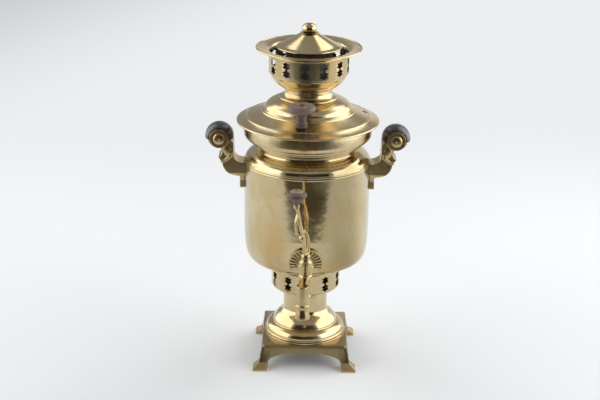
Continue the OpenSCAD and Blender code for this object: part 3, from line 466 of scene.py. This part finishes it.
# ---------------- mesh helpers
WELD, TINY = 1e-6, 1e-9           # points nearer than this are one; lengths below this are none
STRAIGHT = math.radians(0.4)      # a line that bends less than this is straight
FLAT = math.radians(0.5)          # a curve that bends less than this stays one chord
CORNER = math.radians(24)         # a line that bends more than this has a corner
SHORT = 0.0009                    # shortest chord that is worth a curve


def copy_of(node):
    """The loose triangles of a CAD node, joined"""
    bm = bmesh.new()
    bm.from_mesh(frame["nodes"][node].data)
    bmesh.ops.remove_doubles(bm, verts=bm.verts, dist=WELD)
    bmesh.ops.recalc_face_normals(bm, faces=bm.faces)
    return bm


def everything(bm):
    """All that a mesh is made of"""
    return bm.verts[:] + bm.edges[:] + bm.faces[:]


def walk(bm):
    """The lines of a wire mesh: the x and z of their points, and whether they close"""
    bm.verts.index_update()
    left = set(bm.verts)
    order = sorted(bm.verts, key=lambda v: (len(v.link_edges), v.index))
    lines = []
    for first in order:
        if first not in left or not first.link_edges:
            continue
        line, here = [first], first
        left.discard(first)
        while True:
            ahead = [e.other_vert(here) for e in here.link_edges if e.other_vert(here) in left]
            if not ahead:
                break
            here = min(ahead, key=lambda v: v.index)
            left.discard(here)
            line.append(here)
        closed = len(line) > 2 and any(e.other_vert(here) == first for e in here.link_edges)
        lines.append(([Vector((v.co.x, v.co.z)) for v in line], closed))
    return lines


def outline(node, bearing, centre=(0.0, 0.0)):
    """Where a half-plane at a bearing from a turned node's axis cuts it, as radius and height"""
    bm = copy_of(node)
    turn = (Matrix.Rotation(-math.radians(bearing), 4, "Z")
            @ Matrix.Translation((-centre[0], -centre[1], 0)))
    bmesh.ops.transform(bm, matrix=turn, verts=bm.verts)
    bmesh.ops.bisect_plane(bm, geom=everything(bm), dist=WELD / 10, plane_co=(0, 0, 0),
                           plane_no=(1, 0, 0), clear_inner=True)
    bmesh.ops.bisect_plane(bm, geom=everything(bm), dist=WELD / 10, plane_co=(0, 0, 0),
                           plane_no=(0, 1, 0), clear_inner=True, clear_outer=True)
    for face in bm.faces[:]:
        bm.faces.remove(face)
    bmesh.ops.remove_doubles(bm, verts=bm.verts, dist=2 * WELD)
    lines = [(straightened(points, closed), closed) for points, closed in walk(bm)]
    bm.free()
    return [(points, closed) for points, closed in lines if len(points) > 2]


def bend(a, b, c):
    """How much a line turns at its middle point b"""
    first, second = b - a, c - b
    if first.length < TINY or second.length < TINY:
        return 0.0
    return first.angle(second)


def neighbours(points, i, closed):
    """The points before and after one, or the point itself at an open end"""
    last = len(points) - 1
    if closed:
        return points[i - 1], points[(i + 1) % len(points)]
    return points[max(i - 1, 0)], points[min(i + 1, last)]


def straightened(points, closed):
    """Drops the points that lie on straight runs"""
    kept = []
    for i, p in enumerate(points):
        before, after = neighbours(points, i, closed)
        at_end = not closed and i in (0, len(points) - 1)
        if at_end or bend(before, p, after) > STRAIGHT:
            kept.append(p)
    return kept


def curved(points, closed, parts):
    """Puts points on Hermite curves between the given ones, up to the corners"""
    count = len(points)
    tangents = []
    for i, p in enumerate(points):
        before, after = neighbours(points, i, closed)
        a, b = p - before, after - p
        if bend(before, p, after) > CORNER or min(a.length, b.length) < TINY:
            tangents.append(None)
        elif max(a.length, b.length) > 3 * min(a.length, b.length):
            tangents.append((a if a.length > b.length else b).normalized())
        else:
            tangents.append((a.normalized() * b.length + b.normalized() * a.length).normalized())
    result = []
    for i in range(count if closed else count - 1):
        p, q = points[i], points[(i + 1) % count]
        chord = q - p
        result.append(p)
        from_p = tangents[i] or chord.normalized()
        from_q = tangents[(i + 1) % count] or chord.normalized()
        if chord.length < SHORT or max(from_p.angle(chord), from_q.angle(chord)) < FLAT:
            continue
        for k in range(1, parts):
            t = k / parts
            result.append(p * (2 * t**3 - 3 * t**2 + 1) + q * (3 * t**2 - 2 * t**3)
                          + from_p * chord.length * (t**3 - 2 * t**2 + t)
                          + from_q * chord.length * (t**3 - t**2))
    if not closed:
        result.append(points[-1])
    return result


def eased(points, closed, radius):
    """Rounds the corners of a line"""
    result = []
    for i, p in enumerate(points):
        before, after = neighbours(points, i, closed)
        at_end = not closed and i in (0, len(points) - 1)
        if at_end or bend(before, p, after) < CORNER:
            result.append(p)
            continue
        a = (before - p).normalized() * min(radius, 0.42 * (before - p).length)
        b = (after - p).normalized() * min(radius, 0.42 * (after - p).length)
        result += [p + a, p + 0.25 * (a + b), p + b]
    return result


def spin_up(lines, steps, centre=(0.0, 0.0)):
    """Turns outlines of radius and height round a vertical axis"""
    bm = bmesh.new()
    for points, closed in lines:
        verts = [bm.verts.new((max(p.x, 0.0), 0.0, p.y)) for p in points]
        pairs = list(zip(verts, verts[1:])) + ([(verts[-1], verts[0])] if closed else [])
        for pair in pairs:
            bm.edges.new(pair)
    bmesh.ops.spin(bm, geom=bm.verts[:] + bm.edges[:], cent=(0, 0, 0), axis=(0, 0, 1),
                   angle=2 * math.pi, steps=steps, use_merge=True)
    bmesh.ops.remove_doubles(bm, verts=bm.verts, dist=WELD)
    bmesh.ops.translate(bm, verts=bm.verts, vec=(centre[0], centre[1], 0))
    bmesh.ops.recalc_face_normals(bm, faces=bm.faces)
    return bm


def turned(node, bearing=40, centre=(0.0, 0.0), parts=3, steps=None, radius=None, reform=None):
    """A turned CAD node again, from its outline at a bearing that no hole cuts"""
    sizes = bpy.context.scene.samovar_sizes
    radius = sizes.edge_round if radius is None else radius
    lines = []
    for points, closed in outline(node, bearing, centre):
        points = curved(points, closed, parts)
        if reform:
            points = [reform(p) for p in points]
        lines.append((eased(points, closed, radius), closed))
    return spin_up(lines, steps or sizes.turn_steps, centre)


def whittled(node, edge):
    """A wooden knob turned about its own upright axis"""
    at = middle(node)
    return turned(node, 0, (at.x, at.y), parts=4, steps=96, radius=edge)


def link(name, bm):
    """An object at the origin whose place is in its mesh"""
    mesh = bpy.data.meshes.new(name)
    bm.to_mesh(mesh)
    bm.free()
    piece = bpy.data.objects.new(name, mesh)
    bpy.context.scene.collection.objects.link(piece)
    return piece


def settle(piece):
    """Makes a piece's modifiers part of its mesh"""
    graph = bpy.context.evaluated_depsgraph_get()
    graph.update()
    old = piece.data
    piece.data = bpy.data.meshes.new_from_object(piece.evaluated_get(graph))
    piece.data.name = piece.name
    piece.modifiers.clear()
    bpy.data.meshes.remove(old)
    return piece


def cut(piece, cutters):
    """Takes the cutters' solids out of a piece"""
    tool = link("cutter", cutters)
    modifier = piece.modifiers.new("holes", "BOOLEAN")
    modifier.operation, modifier.solver, modifier.object = "DIFFERENCE", "EXACT", tool
    settle(piece)
    bpy.data.objects.remove(tool)


def smooth(piece, angle):
    """Smooth shading with crisp edges past an angle"""
    bm = bmesh.new()
    bm.from_mesh(piece.data)
    bmesh.ops.dissolve_degenerate(bm, edges=bm.edges, dist=WELD / 10)
    for face in bm.faces:
        face.smooth = True
    for edge in bm.edges:
        edge.smooth = len(edge.link_faces) != 2 or edge.calc_face_angle(0.0) < math.radians(angle)
    bm.to_mesh(piece.data)
    bm.free()


def dress(piece, node, material, angle=32.0):
    """Puts a piece in the place of a CAD node"""
    smooth(piece, angle)
    piece.data.materials.clear()
    piece.data.materials.append(material)
    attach(piece, frame["nodes"][node]["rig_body"])
    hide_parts(node)


def lined(piece, material, chosen):
    """Gives a second material to the faces chosen by radius, height, outward and upward facing"""
    piece.data.materials.append(material)
    for face in piece.data.polygons:
        out = Vector((face.center.x, face.center.y, 0))
        facing = face.normal.dot(out.normalized()) if out.length > WELD else 0.0
        if chosen(out.length, face.center.z, facing, face.normal.z):
            face.material_index = 1


def share(value, span):
    """How much of a span a value has run, from 0 to 1"""
    return min(1.0, max(0.0, value / span))


def wave(bm, depth, low, high, inner=0.03, fade_in=0.012, wall=0.075):
    """Strays the sheet a little from its true form, both walls alike, and not at its ends"""
    for v in bm.verts:
        out = Vector((v.co.x, v.co.y, 0))
        if out.length < inner:
            continue
        fade = share(v.co.z - low, fade_in) * share(high - v.co.z, fade_in)
        at = Vector((out.x / out.length * wall, out.y / out.length * wall, v.co.z))
        stray = noise.noise(at * 42.0) + 0.5 * noise.noise(at * 95.0 + Vector((7, 3, 1)))
        v.co += out.normalized() * stray * depth * fade


# Right upper quarter of two stars, tip to tip, in a box of 1 by 1
STAR = ((0, 0.5), (0.15, 0.41), (0.5, 0.36), (0.30, 0.25), (0.5, 0.14), (0.17, 0.06), (0.12, 0))


def star_cutters(count, width, height, radius, level, turn, reach=0.008):
    """A ring of prisms with the outline of two stars, which reach this far in and out"""
    quarter = [(x * width, y * height) for x, y in STAR]
    shape = (quarter + [(x, -y) for x, y in quarter[-2::-1]] + [(-x, -y) for x, y in quarter[1:]]
             + [(-x, y) for x, y in quarter[-2:0:-1]])
    bm = bmesh.new()
    for i in range(count):
        verts = [bm.verts.new((x, -radius - reach, z + level)) for x, z in shape]
        face = bm.faces.new(verts)
        solid = bmesh.ops.extrude_face_region(bm, geom=[face])["geom"]
        moved = [g for g in solid if isinstance(g, bmesh.types.BMVert)]
        bmesh.ops.translate(bm, verts=moved, vec=(0, 2 * reach, 0))
        bmesh.ops.rotate(bm, verts=verts + moved, cent=(0, 0, 0),
                         matrix=Matrix.Rotation(math.radians(turn + 360.0 * i / count), 3, "Z"))
    bmesh.ops.recalc_face_normals(bm, faces=bm.faces)
    return bm


def rod(bm, start, end, radius, sides=48):
    """A round bar between two points, as a cutter or a casting's rib"""
    start, end = Vector(start), Vector(end)
    made = bmesh.ops.create_cone(bm, cap_ends=True, segments=sides, radius1=radius, radius2=radius,
                                 depth=(end - start).length)["verts"]
    turn = Z_AXIS.rotation_difference(end - start).to_matrix().to_4x4()
    bmesh.ops.transform(bm, matrix=Matrix.Translation((start + end) / 2) @ turn, verts=made)


def cast(name, bm, grain, rounds):
    """Runs overlapping solids together in one skin with soft corners, as a casting"""
    piece = link(name, bm)
    remesh = piece.modifiers.new("skin", "REMESH")
    remesh.mode, remesh.voxel_size, remesh.adaptivity = "VOXEL", grain, 0.0
    soften = piece.modifiers.new("soft", "SMOOTH")
    soften.iterations, soften.factor = rounds, 0.5
    return settle(piece)


def bevelled(bm, width, angle=30.0, segments=2):
    """Eases a solid's edges past an angle"""
    bmesh.ops.dissolve_limit(bm, angle_limit=math.radians(0.6), verts=bm.verts, edges=bm.edges,
                             use_dissolve_boundaries=False, delimit={"NORMAL"})
    sharp = [e for e in bm.edges
             if len(e.link_faces) == 2 and e.calc_face_angle(0) > math.radians(angle)]
    bmesh.ops.bevel(bm, geom=sharp, offset=width, offset_type="OFFSET", affect="EDGES",
                    segments=segments, profile=0.5, material=-1, clamp_overlap=True)
    bmesh.ops.recalc_face_normals(bm, faces=bm.faces)
    return bm


def middle(node):
    """The middle of a CAD node's box"""
    low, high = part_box(node)
    return (low + high) / 2


# ---------------- the operators
class Maker:
    """What the operators share: each can be taken back"""
    bl_options = {"REGISTER", "UNDO"}


class SAMOVAR_OT_base(Maker, bpy.types.Operator):
    """Cast square plate, apron and feet, with the turned pedestal on it"""
    bl_idname = "samovar.base"
    bl_label = "Base and pedestal"

    def execute(self, context):
        sizes = context.scene.samovar_sizes
        _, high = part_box("base_plate")
        blank = battered(copy_of("base_plate"), high.z - PLATE_T, sizes.batter)
        base = link("footed_base", bevelled(blank, sizes.base_round, 25))
        dress(base, "base_plate",
              casting_brass("base_brass", 0.24, 1.0, 0.5, base_film_and_shade), 35)
        pedestal = link("spun_pedestal", turned("pedestal"))
        dress(pedestal, "pedestal", spun_brass("pedestal_brass"))
        return {"FINISHED"}


def battered(bm, top, slope, inner=HALF_BASE - 0.0036, outer=HALF_BASE + 0.0005):
    """Leans the apron's walls, which lie between inner and outer, out towards their foot"""
    for v in bm.verts:
        for axis in (0, 1):
            if inner < abs(v.co[axis]) < outer and TOE_H < v.co.z < top:
                v.co[axis] += math.copysign((top - v.co.z) * slope, v.co[axis])
    return bm


class SAMOVAR_OT_blower(Maker, bpy.types.Operator):
    """Blower ring with its star holes, grate, fire tube and the floor of the water space"""
    bl_idname = "samovar.blower"
    bl_label = "Blower ring and fire box"

    def execute(self, context):
        sizes = context.scene.samovar_sizes
        _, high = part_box("blower_ring")
        ring = link("pierced_blower_ring", turned("blower_ring", 27.3))
        turn = BLOWER_TURN - 180.0 / sizes.blower_holes + 180.0
        cut(ring, star_cutters(sizes.blower_holes, sizes.blower_hole_w, sizes.blower_hole_h,
                               BLOWER_WALL_R, high.z - BLOWER_HOLES_DOWN, turn))
        dress(ring, "blower_ring", spun_brass("blower_brass", stain=1.2))
        # Soot and painted shade on the ring's inner faces, which darken what its holes show
        lined(ring, soot_and_shade_brass("blower_soot_and_shade"), lambda r, z, facing, up: facing < -0.3)
        grate = link("iron_grate", bevelled(copy_of("grate"), 0.0004))
        dress(grate, "grate", sooty_iron("iron"))
        tube = link("chimney_tube", turned("fire_tube", steps=128))
        # The tube's heavy soot is partly painted shade, which darkens it where the crown's holes
        # show it
        dress(tube, "fire_tube", tinned_sheet("tube_tin_soot_and_shade", 0.75))
        floor = link("water_floor", turned("reservoir_floor", steps=128))
        dress(floor, "reservoir_floor", tinned_sheet("floor_tin"))
        return {"FINISHED"}


class SAMOVAR_OT_body(Maker, bpy.types.Operator):
    """Water body and the collar that carries the lid"""
    bl_idname = "samovar.body"
    bl_label = "Body and collar"

    def execute(self, context):
        sizes = context.scene.samovar_sizes
        low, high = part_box("body_shell")
        bm = turned("body_shell", 57)
        wave(bm, sizes.wave, low.z + 0.02, high.z - 0.03)
        body = link("water_body", bm)
        holes = bmesh.new()
        rod(holes, (0, -0.05, TAP_LEVEL), (0, -0.1, TAP_LEVEL), TAP_HOLE_R)
        for side in (-1, 1):
            for level in BRACKET_SCREW_LEVELS:
                rod(holes, (side * 0.07, 0, level), (side * 0.09, 0, level), BRACKET_SCREW_R)
        cut(body, holes)
        dress(body, "body_shell",
              spun_brass("body_brass", gloss=0.09, bloom=0.35, film=body_film_and_shade))
        collar = link("flared_collar", turned("collar_ring"))
        dress(collar, "collar_ring",
              spun_brass("collar_brass", gloss=0.23, bloom=0.8))
        return {"FINISHED"}


class SAMOVAR_OT_lid(Maker, bpy.types.Operator):
    """Lid with its steam vent, and the skirt that centres it"""
    bl_idname = "samovar.lid"
    bl_label = "Lid"

    def execute(self, context):
        lid = link("stepped_lid", turned("lid", 50))
        holes = bmesh.new()
        vent = Matrix.Rotation(math.radians(VENT_BEARING), 3, "Z") @ Vector((VENT_OUT, 0, 0))
        rod(holes, vent + BELOW_LID, vent + ABOVE_LID, VENT_R)
        for knob in LID_KNOBS:
            at = middle(knob)
            at.z = 0.0
            rod(holes, at + BELOW_LID, at + ABOVE_LID, KNOB_SCREW_R)
        cut(lid, holes)
        dress(lid, "lid", spun_brass("lid_brass", gloss=0.19, bloom=0.5))
        skirt = link("lid_spigot", turned("lid_skirt", steps=160))
        dress(skirt, "lid_skirt", spun_brass("skirt_brass"))
        return {"FINISHED"}


class SAMOVAR_OT_lid_knobs(Maker, bpy.types.Operator):
    """Two turned knobs with their screws and nuts"""
    bl_idname = "samovar.lid_knobs"
    bl_label = "Lid knobs"

    def execute(self, context):
        sizes = context.scene.samovar_sizes
        for node in LID_KNOBS:
            knob = link("turned_" + node, whittled(node, sizes.wood_round))
            dress(knob, node,
                  knob_wood(node + "_wood", middle(node), LID_KNOB_R), 40)
        brass = casting_brass("screw_brass", 0.24)
        for node, name in (("lid_knob_screws", "knob_screws"), ("lid_knob_nuts", "knob_nuts")):
            fixing = link(name, bevelled(copy_of(node), 0.00025))
            dress(fixing, node, brass)
        return {"FINISHED"}


class SAMOVAR_OT_crown(Maker, bpy.types.Operator):
    """Pierced crown that carries the teapot"""
    bl_idname = "samovar.crown"
    bl_label = "Crown"

    def execute(self, context):
        sizes = context.scene.samovar_sizes
        _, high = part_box("crown")
        crown = link("pierced_crown", turned("crown", 1.3))
        cut(crown, star_cutters(sizes.crown_holes, sizes.crown_hole_w, sizes.crown_hole_h,
                                CROWN_WALL_R, high.z - CROWN_HOLES_DOWN, CROWN_TURN))
        dress(crown, "crown", spun_brass("crown_brass", gloss=0.19, bloom=0.7))
        flange, well_r = high.z - 0.0075, 0.049
        # Soot and painted shade on the crown's inner walls, which darken what the star holes show
        lined(crown, soot_and_shade_brass("crown_soot_and_shade"),
              lambda r, z, facing, up: r < well_r and z < flange and (facing < -0.3 or up > 0.5))
        return {"FINISHED"}


class SAMOVAR_OT_cap(Maker, bpy.types.Operator):
    """Chimney cap and its finial"""
    bl_idname = "samovar.cap"
    bl_label = "Cap"

    def execute(self, context):
        sizes = context.scene.samovar_sizes
        _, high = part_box("cap")
        brim, cone_r, cone_run, neck_h, sleeve_r = high.z - 0.0107, 0.036, 0.028, 0.0085, 0.034

        def coned(p):
            """Draws the flat dome up to a cone"""
            if p.y < brim + 0.0005 or p.x > cone_r:
                return p
            return Vector((p.x, p.y + sizes.cap_rise * share(cone_r - p.x, cone_run) ** 1.2))

        def stood(p):
            """Shortens the finial's neck by as much as the cone has risen"""
            return Vector((p.x, p.y + sizes.cap_rise * 0.97 * share(high.z + neck_h - p.y, neck_h)))

        cap = link("chimney_cap", turned("cap", reform=coned))
        dress(cap, "cap", spun_brass("cap_brass"))
        # Soot and painted shade on the sleeve under the brim, inside the crown
        lined(cap, soot_and_shade_brass("cap_soot_and_shade"), lambda r, z, facing, up: z < brim and r < sleeve_r)
        finial = link("ball_finial", turned("cap_finial", steps=96, reform=stood))
        dress(finial, "cap_finial", spun_brass("finial_brass", gloss=0.14))
        return {"FINISHED"}


class SAMOVAR_OT_tap(Maker, bpy.types.Operator):
    """Tap body with its shell-shaped rosette"""
    bl_idname = "samovar.tap"
    bl_label = "Tap"

    def execute(self, context):
        sizes = context.scene.samovar_sizes
        tap = cast("cast_tap", copy_of("tap_body"), sizes.cast_grain, 2)
        dress(tap, "tap_body", casting_brass("tap_brass", 0.17, 0.9, 0.4), 60)
        rosette = cast("ribbed_rosette", copy_of("tap_rosette"), sizes.rosette_grain, 9)
        dress(rosette, "tap_rosette", casting_brass("rosette_brass", 0.2, 0.6), 60)
        return {"FINISHED"}


class SAMOVAR_OT_key(Maker, bpy.types.Operator):
    """Plug key with its openwork branch, knob and screw"""
    bl_idname = "samovar.key"
    bl_label = "Tap key"

    def execute(self, context):
        sizes = context.scene.samovar_sizes
        blank = slimmed(copy_of("tap_key"), sizes.branch_width)
        key = cast("openwork_key", blank, sizes.cast_grain, 3)
        dress(key, "tap_key", casting_brass("key_brass", 0.2, 1.2, 0.4), 60)
        knob = link("turned_key_knob", whittled("tap_key_knob", sizes.wood_round))
        dress(knob, "tap_key_knob",
              knob_wood("key_knob_wood", middle("tap_key_knob"), KEY_KNOB_R), 40)
        screw = link("key_screw", bevelled(copy_of("tap_key_screw"), 0.0002))
        dress(screw, "tap_key_screw", casting_brass("key_screw_brass", 0.24))
        return {"FINISHED"}


def slimmed(bm, width):
    """Draws the openwork branch in towards the line from the plug to the knob"""
    knob = middle("tap_key_knob")
    lean = Vector((knob.x - PLUG_HEAD.x, knob.y - PLUG_HEAD.y, 0))
    side = lean.normalized()
    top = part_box("tap_key_knob")[0].z
    for v in bm.verts:
        rise = (v.co.z - PLUG_HEAD.z) / (top - PLUG_HEAD.z)
        if 0 < rise < 1:
            line = PLUG_HEAD + lean * rise
            off = Vector((v.co.x - line.x, v.co.y - line.y, 0)).dot(side)
            ease = min(1.0, rise * 8, (1 - rise) * 8)
            v.co -= side * off * (1 - width) * ease
    return bm


class SAMOVAR_OT_handles(Maker, bpy.types.Operator):
    """Two cast brackets with black wooden grips, rivets and screws"""
    bl_idname = "samovar.handles"
    bl_label = "Handles"

    def execute(self, context):
        sizes = context.scene.samovar_sizes
        brass = casting_brass("handle_brass", 0.24, 0.8, 0.45)
        for side, way in (("left", -1), ("right", 1)):
            node = side + "_handle_bracket"
            arm = copy_of(node)
            for face in (-1, 1):
                ornament(arm, way, face)
            bracket = cast(side + "_cast_arm", arm, sizes.cast_grain, 6)
            dress(bracket, node, brass, 60)
            grip = link(side + "_wooden_grip", bevelled(copy_of(side + "_grip"), 0.0009, 40, 3))
            dress(grip, side + "_grip",
                  ebonised_wood(side + "_grip_wood", middle(side + "_grip")), 35)
            node = side + "_grip_rivet"
            rivet = link(side + "_scroll_rivet", bevelled(copy_of(node), 0.0003, 40))
            dress(rivet, node, brass, 40)
        screws = link("bracket_screws", bevelled(copy_of("handle_screws"), 0.00025))
        dress(screws, "handle_screws", casting_brass("handle_screw_brass", 0.26))
        return {"FINISHED"}


# On a handle's arm, in x and z: the band's points and radius, the leaf's middle and half sizes
ARM_FACE = 0.0136
BAND, BAND_R = ((0.1085, 0.2645), (0.1035, 0.2665), (0.098, 0.2705), (0.0925, 0.2755)), 0.0016
LEAF_X, LEAF_Z, LEAF_SIZE, LEAF_LEAN = 0.1008, 0.281, (0.0052, 0.0020, 0.0105), 18


def ornament(bm, way, face):
    """A slanting band and a pointed leaf on one face of a handle's arm"""
    flat = ARM_FACE * face
    for (x0, z0), (x1, z1) in zip(BAND, BAND[1:]):
        rod(bm, (way * x0, flat, z0), (way * x1, flat, z1), BAND_R, 20)
    leaf = bmesh.ops.create_icosphere(bm, subdivisions=3, radius=1.0)["verts"]
    for v in leaf:
        v.co.x *= 1.0 - 0.55 * max(0.0, v.co.z)
    bmesh.ops.transform(bm, verts=leaf, matrix=Matrix.Translation((way * LEAF_X, flat, LEAF_Z))
                        @ Matrix.Rotation(math.radians(LEAF_LEAN * way), 4, "Y")
                        @ Matrix.Diagonal((*LEAF_SIZE, 1)))


# Name, place, what it looks at, width and height, watts
LAMPS = (
    ("left_softbox", (-1.35, 0.1, 0.92), (0, 0.1, 0.92), (2.6, 1.7), 24),
    ("right_softbox", (1.35, 0.1, 0.92), (0, 0.1, 0.92), (2.6, 1.7), 29),
    ("back_left_softbox", (-0.85, 0.85, 1.62), (0, 0, 0.4), (0.5, 0.9), 2.4),
    ("back_right_softbox", (0.88, 0.90, 1.62), (0, 0, 0.4), (0.75, 1.1), 5.0),
)
FLOOR_R = 9.0
ROOM_LIGHT = 0.44
LENS, SENSOR = 87.43, 36.0
CAMERA_PLACE, CAMERA_TURNS = (0, -1.746, 0.837), (("Z", 0.28), ("X", 70.25), ("Z", 0.83))


class SAMOVAR_OT_stage(Maker, bpy.types.Operator):
    """Pale floor, soft lamps, cards that the metal mirrors, room light and camera"""
    bl_idname = "samovar.stage"
    bl_label = "Stage"

    def execute(self, context):
        scene, c = context.scene, paints()
        bm = bmesh.new()
        bmesh.ops.create_circle(bm, cap_ends=True, segments=96, radius=FLOOR_R)
        floor = link("floor", bm)
        floor.data.materials.append(paper("paper_floor"))
        for row in LAMPS:
            lamp(*row)
        felt = Finish("brown_felt").shade(Base_Color=c.felt, Roughness=0.9)
        card("front_floor_flag", (0, -1.72, 0.004), 0, (5.0, 2.44), felt)
        card("front_wall_flag", (0, -3.0, 1.5), 90, (5.0, 3.0), felt)
        white = Finish("white_card").shade(Base_Color=(0, 0, 0), Roughness=1.0,
                                           Emission_Color=c.white_card, Emission_Strength=0.95)
        card("back_sweep", (0.85, 2.0, 0.52), 90, (1.9, 1.0), white)
        world = bpy.data.worlds.new("studio")
        scene.world = world
        world.use_nodes = True
        room = world.node_tree.nodes["Background"].inputs
        room["Color"].default_value, room["Strength"].default_value = (*c.room, 1), ROOM_LIGHT
        data = bpy.data.cameras.new("camera")
        data.lens, data.sensor_width = LENS, SENSOR
        data.clip_start, data.clip_end = 0.05, 60.0
        camera = bpy.data.objects.new("camera", data)
        view = Matrix.Translation(CAMERA_PLACE)
        for axis, degrees in CAMERA_TURNS:
            view = view @ Matrix.Rotation(math.radians(degrees), 4, axis)
        camera.matrix_world = view
        scene.collection.objects.link(camera)
        scene.camera = camera
        scene.view_settings.view_transform = "Standard"
        return {"FINISHED"}


def paper(name):
    """Seamless paper that takes the shadow near the object and is plain further off, but for
    painted shade towards the back left
    """
    f, c = Finish(name), paints()
    x, y, _ = f.split()
    far = ((x * x + y * y) ** 0.5).ease(0.45, 1.3)
    painted_shade_corner = ((y - 1.1) * 0.5 - x - 0.45).ease(0.0, 1.2)
    paths = f.node("ShaderNodeLightPath").outputs
    seen = Value(f, paths["Is Camera Ray"])
    for ray in ("Is Glossy Ray", "Is Transmission Ray"):
        seen = seen.most(Value(f, paths[ray]))
    near = f.node("ShaderNodeBsdfDiffuse", None, {"Color": c.paper})
    # Painted shade: the far paper darkens towards the back left corner
    backdrop = f.mix(painted_shade_corner, c.far_paper, c.far_paper * 0.68)
    plain = f.node("ShaderNodeEmission", None, {"Color": backdrop, "Strength": 1.0})
    both = f.node("ShaderNodeMixShader", None,
                  {0: far * seen, 1: near.outputs[0], 2: plain.outputs[0]})
    f.tree.links.new(both.outputs[0], f.output.inputs["Surface"])
    return f.material


def card(name, place, tilt, area, material):
    """A card beside the set, which only the metal's reflections show"""
    bm = bmesh.new()
    bmesh.ops.create_grid(bm, x_segments=1, y_segments=1, size=0.5)
    bmesh.ops.transform(bm, verts=bm.verts, matrix=Matrix.Translation(place)
                        @ Matrix.Rotation(math.radians(tilt), 4, "X")
                        @ Matrix.Diagonal((area[0], area[1], 1, 1)))
    board = link(name, bm)
    board.data.materials.append(material)
    board.visible_camera = board.visible_shadow = board.visible_diffuse = False


def lamp(name, place, aim, area, power):
    """A soft rectangular lamp that looks at a point"""
    data = bpy.data.lights.new(name, "AREA")
    data.shape, data.size, data.size_y, data.energy = "RECTANGLE", area[0], area[1], power
    box = bpy.data.objects.new(name, data)
    way = (Vector(aim) - Vector(place)).normalized()
    box.matrix_world = Matrix.Translation(place) @ way.to_track_quat("-Z", "Y").to_matrix().to_4x4()
    bpy.context.scene.collection.objects.link(box)
    box.visible_camera = False


MAKERS = (SAMOVAR_OT_base, SAMOVAR_OT_blower, SAMOVAR_OT_body, SAMOVAR_OT_lid,
          SAMOVAR_OT_lid_knobs, SAMOVAR_OT_crown, SAMOVAR_OT_cap, SAMOVAR_OT_tap,
          SAMOVAR_OT_key, SAMOVAR_OT_handles, SAMOVAR_OT_stage)


class SAMOVAR_PT_parts(bpy.types.Panel):
    """Lists the samovar's makers, sizes and colours"""
    bl_idname = "SAMOVAR_PT_parts"
    bl_label = "Samovar"
    bl_space_type = "VIEW_3D"
    bl_region_type = "UI"
    bl_category = "Samovar"

    def draw(self, context):
        for maker in MAKERS:
            self.layout.operator(maker.bl_idname)
        for group in (context.scene.samovar_sizes, context.scene.samovar_colours):
            column = self.layout.column()
            for key in group.__annotations__:
                column.prop(group, key)


CLASSES = (SamovarSizes, SamovarColours, *MAKERS, SAMOVAR_PT_parts)


def register():
    for cls in CLASSES:
        bpy.utils.register_class(cls)
    bpy.types.Scene.samovar_sizes = bpy.props.PointerProperty(type=SamovarSizes)
    bpy.types.Scene.samovar_colours = bpy.props.PointerProperty(type=SamovarColours)


def unregister():
    del bpy.types.Scene.samovar_sizes, bpy.types.Scene.samovar_colours
    for cls in reversed(CLASSES):
        bpy.utils.unregister_class(cls)


def main():
    """Registers the add-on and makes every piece"""
    register()
    for maker in MAKERS:
        getattr(bpy.ops.samovar, maker.bl_idname.split(".")[1])()


if __name__ == "__main__":
    main()
